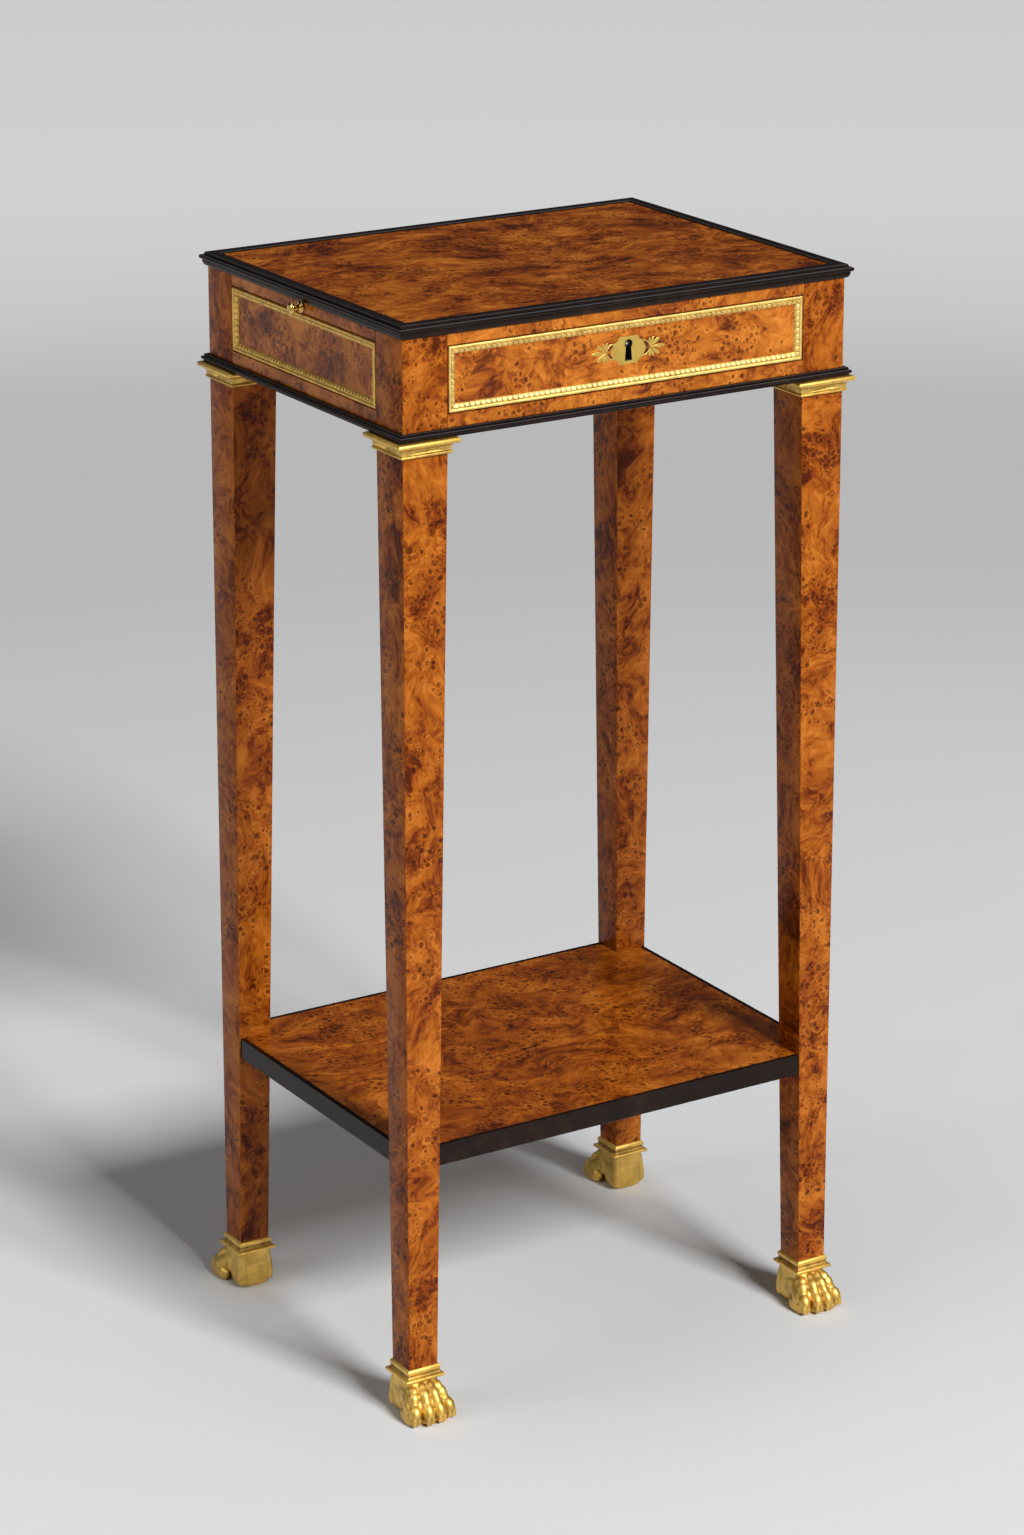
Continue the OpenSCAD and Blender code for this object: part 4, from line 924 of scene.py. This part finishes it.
frame_h = FIELD_TOP - FIELD_FOOT - 2 * SHADOW_GAP
for side, (quarter, half_length, half_depth) in SIDES.items():
    skins = frame_skins(2 * (half_length - LEG_T - SHADOW_GAP), frame_h, quarter, half_depth)
    # The front frame takes the paler copy of the gilding as painted light; the others take the plain
    # gilding.
    body, old, gilding = "table", side + "_frame", gilt
    if side == "front":
        body, old, gilding = "drawer", "drawer_frame", gilt_painted_pale_for_the_lit_front
    made = fit_piece("leaf_tip_frame_" + side, skins, gilding, body, "gilt_bronze", old, sharp=60)
    print(made.name, len(made.data.polygons), "faces")

# %% [markdown]
# The drawer front's veneer has one hole, the keyhole: a round eye over a slot that flares to its foot.
# Cutting it with a Boolean leaves ragged shading, so the panel is made of rings that run from the keyhole's
# edge to the panel's edge, with their points on rays from the middle of the eye.

# %% Drawer panel with its keyhole
PLATE_Z, PANEL_BACK, PANEL_Y, EYE_UP = 712.65, -125.5, -126.3, 4.0
EYE_Z, EYE_R, NECK, FOOT_HALF, SLOT = PLATE_Z + EYE_UP, 3.0, 1.9, 2.8, 11.0
down, flare = 1.5 * math.pi, math.atan2(FOOT_HALF, SLOT)
rays = np.unique(np.concatenate([
    np.linspace(0, math.tau, 72, endpoint=False), down + np.linspace(-0.7, 0.7, 30),
    [down - flare, down + flare]]) % math.tau)


def above_zero(values):
    """Values held above zero, so that one can divide by them."""
    return np.maximum(values, 1e-9)


def keyhole_reach(angle, grow=0.0):
    """Distance from the eye's middle to the keyhole's edge: the circle, or further down the slot's flared
    sides and its foot."""
    c, s = np.abs(np.cos(angle)), np.sin(angle)
    side = (NECK + grow) / above_zero(c + (FOOT_HALF - NECK) / SLOT * s)
    slot = np.where((s < 0) & (side > 0), np.minimum(side, (SLOT + grow) / above_zero(-s)), 0.0)
    return np.maximum(EYE_R + grow, slot)


def edge_reach(angle, outline):
    """Distance from the eye's middle to an outline of points that goes once round it, read between its
    points."""
    bearing = np.arctan2(*outline.T[::-1]) % math.tau
    return np.hypot(*(np.interp(angle, bearing, outline[:, i], period=math.tau) for i in (0, 1)))


def front_rings(angle, levels):
    """Rings round the eye from levels of (distance, y): x = distance x cosine, z = the eye's z + distance x
    sine."""
    return np.array([xyz(r * np.cos(angle), y, EYE_Z + r * np.sin(angle)) for r, y in levels])


def rayed_plate(outer, back, front, bevel, angle):
    """A plate with the keyhole in it: rings from the outer edge to the keyhole's edge on the front, and
    back again behind. Outer holds the distances of the outer edge; y runs from back to front."""
    inner = keyhole_reach(angle)
    return hoop(front_rings(angle, [(outer, back), (outer, front + bevel), (outer - bevel, front),
                                    (inner + 0.5 * bevel, front), (inner, front + bevel), (inner, back)]))


edge = SHADOW_GAP + GILT_W + 0.05
half_x, low_z, high_z = HALF_W - LEG_T - edge, FIELD_FOOT + edge - EYE_Z, FIELD_TOP - edge - EYE_Z
corner_rays = np.arctan2([high_z, high_z, low_z, low_z], [half_x, -half_x, -half_x, half_x]) % math.tau
panel_rays = np.unique(np.concatenate([rays, corner_rays]))
c, s = np.cos(panel_rays), np.sin(panel_rays)
half_z = np.where(s > 0, high_z, -low_z)
panel_edge = np.minimum(half_x / above_zero(np.abs(c)), half_z / above_zero(np.abs(s)))
leaf = rayed_plate(panel_edge, PANEL_BACK, PANEL_Y, 0.02, panel_rays)
panel = fit_piece("front_leaf", [leaf], burr_panel, "drawer", "burr_veneer", "drawer_panel", sharp=30)
print(panel.name, len(panel.data.polygons), "faces")

# %% [markdown]
# The escutcheon is let into the veneer: a plate with hollowed corners, and a palmette at each side. A
# palmette is an old honeysuckle ornament with seven teardrop lobes on a short stem, held to the plate by
# two thin scrolls. Every lobe is its own flat drop with a rubbed edge, sunk into the stem.

# %% Escutcheon
PLATE_FRONT, STEM_X = PANEL_Y - 0.16, 17.0
quarter_edge = profile(
    (13.7, 0.0), (12.9, 1.5), (12.0, 3.2), (11.5, 4.6), (11.3, 5.5), (10.4, 5.6), (9.5, 6.0), (8.5, 6.7),
    (7.8, 7.6), (7.3, 8.6), (6.9, 9.1), (3.5, 9.1))
plate_edge = np.concatenate([quarter_edge * [x, z] for x in (-1, 1) for z in (-1, 1)]) - [0, EYE_UP]
plate_edge = plate_edge[np.argsort(np.arctan2(*plate_edge.T[::-1]) % math.tau, kind="stable")]
plate_rays = np.unique(np.concatenate([rays, np.arctan2(*plate_edge.T[::-1]) % math.tau]).round(6))
parts = [rayed_plate(edge_reach(plate_rays, plate_edge), -125.6, PLATE_FRONT, 0.08, plate_rays)]


def flat_piece(outline, front, rub=0.1, back=-125.7):
    """A closed outline in x and z as a thin solid: straight sides, a narrow rubbed edge and a flat face.
    The face's outline moves in by the rub, along the left hand side of the step between each point's
    neighbours if the outline's area is positive."""
    step = np.roll(outline, -1, 0) - np.roll(outline, 1, 0)
    inward = np.stack([-step[:, 1], step[:, 0]], 1) / (np.linalg.norm(step, axis=1)[:, None] + 1e-9)
    area = np.sum(outline[:, 0] * np.roll(outline[:, 1], -1) - np.roll(outline[:, 0], -1) * outline[:, 1])
    face = outline + inward * rub * np.sign(area)
    levels = (outline, back), (outline, front + rub * 0.6), (face, front)
    return tube(np.array([xyz(xz[:, 0], y, PLATE_Z + xz[:, 1]) for xz, y in levels]))


def drop(root, turn, length, fat, steps=22):
    """A teardrop from its root: half width = fat x sin(pi t^1.7) + a thin stem, with t from root to tip."""
    t = np.linspace(0, 1, steps)
    half = fat * np.sin(math.pi * t ** 1.7) ** 0.9 * (t < 1) + 0.24 * (1 - t)
    x = np.concatenate([t, t[::-1][1:-1]]) * length
    z = np.concatenate([half, -half[::-1][1:-1]])
    return np.stack(quarter_turn(x, z, turn / 90), 1) + root


def ribbon(path, width, steps=14):
    """A band of even width along a smooth line, pointed a little at its ends."""
    line = smooth_line(path, steps)
    ahead = unit(np.gradient(line, axis=0))
    side = np.stack([-ahead[:, 1], ahead[:, 0]], 1)
    half = width / 2 * np.sqrt(np.clip(1 - np.linspace(-1, 1, steps) ** 6, 0.15, 1))[:, None]
    return np.concatenate([line + side * half, (line - side * half)[::-1]])


shapes = [drop((STEM_X + 0.1, root), turn, length, fat) for turn, length, fat, root in (
    (0, 11.1, 1.2, 0), (36, 8.8, 1.1, 0.25), (-36, 8.8, 1.1, -0.25), (67, 6.4, 0.95, 0.7),
    (-67, 6.4, 0.95, -0.7), (99, 5.3, 0.9, 1.1), (-99, 5.3, 0.9, -1.1))]
shapes.append(ribbon([(STEM_X, -2.3), (STEM_X + 0.15, 0), (STEM_X, 2.3)], 1.5))
scroll = np.array([(11.3, 5.1), (13.6, 4.6), (15.3, 3.2), (16.6, 1.6)])
shapes += [ribbon(scroll * [1, up], 0.85) for up in (-1, 1)]
# Flat dark crescents between the scrolls and the plate, thin pieces just proud of the veneer.
crescent = np.array([(12.3, 4.4), (13.6, 3.3), (14.6, 1.9), (15.2, 0.7)])
dark_crescents = [ribbon(crescent * [side, up], 1.1) for side in (-1, 1) for up in (-1, 1)]
for side in (-1, 1):
    parts += [flat_piece(shape * [side, 1], PLATE_FRONT + 0.01 * (i % 3)) for i, shape in enumerate(shapes)]
fit_piece("escutcheon_plate", parts, plate_brass, "drawer", "brass", "escutcheon", sharp=30)
skins = [flat_piece(shape, PANEL_Y - 0.05, 0.05) for shape in dark_crescents]
fit_piece("escutcheon_dark_crescents", skins, painted_shade_and_dark_crescents, "drawer", "ebonised_wood", sharp=30)
print("escutcheon from", len(parts), "skins")

# %% [markdown]
# Looking into the keyhole one sees darkness, and the bright ring and drill pin that guide the key. The dark
# is painted shade: a lining behind the plate, coloured near black, and the ring and pin are turned profiles.

# %% Keyhole lining, ring and drill pin
MOUTH, BOTTOM = -126.2, -117.2
inner, outer = keyhole_reach(rays, -0.12), keyhole_reach(rays, 0.03)
lining = hoop(front_rings(rays, [(outer, MOUTH), (outer, BOTTOM), (inner, BOTTOM), (inner, MOUTH)]))
hole = np.stack([outer * np.cos(rays), EYE_UP + outer * np.sin(rays)], 1)
floor_of_hole = flat_piece(hole, BOTTOM - 0.15, 0.02, BOTTOM + 0.3)
fit_piece("keyhole_lining", [lining, floor_of_hole], painted_shade_and_dark_crescents, "drawer", "steel", sharp=30)
ring = profile((0.0, 2.05), (0.0, 2.6), (3.6, 2.6), (4.0, 2.45), (4.0, 2.2), (3.6, 2.05))
pin = profile((0.0, 0.0), (0.0, 1.36), (4.6, 1.36), (5.0, 1.05), (5.0, 0.5), (4.4, 0.4), (4.4, 0.0))
guide = [turned(ring, (0, -119.6, EYE_Z), -2, make=hoop), turned(pin, (0, -119.3, EYE_Z), -2)]
fit_piece("key_guide", guide, lock_steel, "drawer", "steel")
print("keyhole fitted")

# %% [markdown]
# The knob of the pull-out slide is turned brass: a collar against the wood, a thin neck and a flared button
# with a dished face. A Screw modifier could spin it; spinning the profile with numpy does the same and
# stays readable.

# %% Knob of the slide
SLIDE_Z = 736.85
KNOB = profile(
    (0.0, 0.0), (0.0, 3.7), (0.25, 3.95), arc(0.75, 3.4, 0.55, 120, 20, 5), (1.35, 2.9), (1.7, 2.2),
    (2.4, 1.85), (3.4, 1.8), (4.4, 2.1), (5.4, 2.75), (6.3, 3.45), (7.1, 3.95), (7.5, 4.25), (7.9, 4.3),
    (8.35, 4.15), (8.6, 3.7), (8.75, 3.35), (9.1, 3.0), (9.35, 2.3), (9.45, 1.2), (9.5, 0.0))
knob = turned(KNOB, (-HALF_W, 0, SLIDE_Z), -1)
fit_piece("turned_knob", [knob], turned_brass, "slide", "brass", "slide_knob", sharp=50)
print("knob turned")

# %% [markdown]
# The remaining CAD pieces already have their true shape: rails, boards, veneers, runners, screws. They keep
# it and only take a finish.

# %% Finishes of the CAD pieces
FINISHES = {
    burr_rail: "front_top_rail front_bottom_rail left_rail right_rail back_rail slide_lipping drawer_front",
    burr_side: "left_panel right_panel",
    burr_panel: "back_panel",
    burr_top: "top_veneer",
    burr_shelf: "shelf_veneer",
    oak_x: "top_core shelf_board shelf_dowels slide_bearers slide_guide slide_board drawer_back "
           "drawer_bottom",
    oak_y: "drawer_runners drawer_guides drawer_side_left drawer_side_right slide_stop",
    turned_brass: "capital_pins",
    plate_brass: "lock_case",
    lock_steel: "top_screws lock_bolt",
}
for material, names in FINISHES.items():
    for name in names.split():
        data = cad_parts[name].data
        data.materials.clear()
        data.materials.append(material)
print("finished", sum(len(names.split()) for names in FINISHES.values()), "CAD pieces")
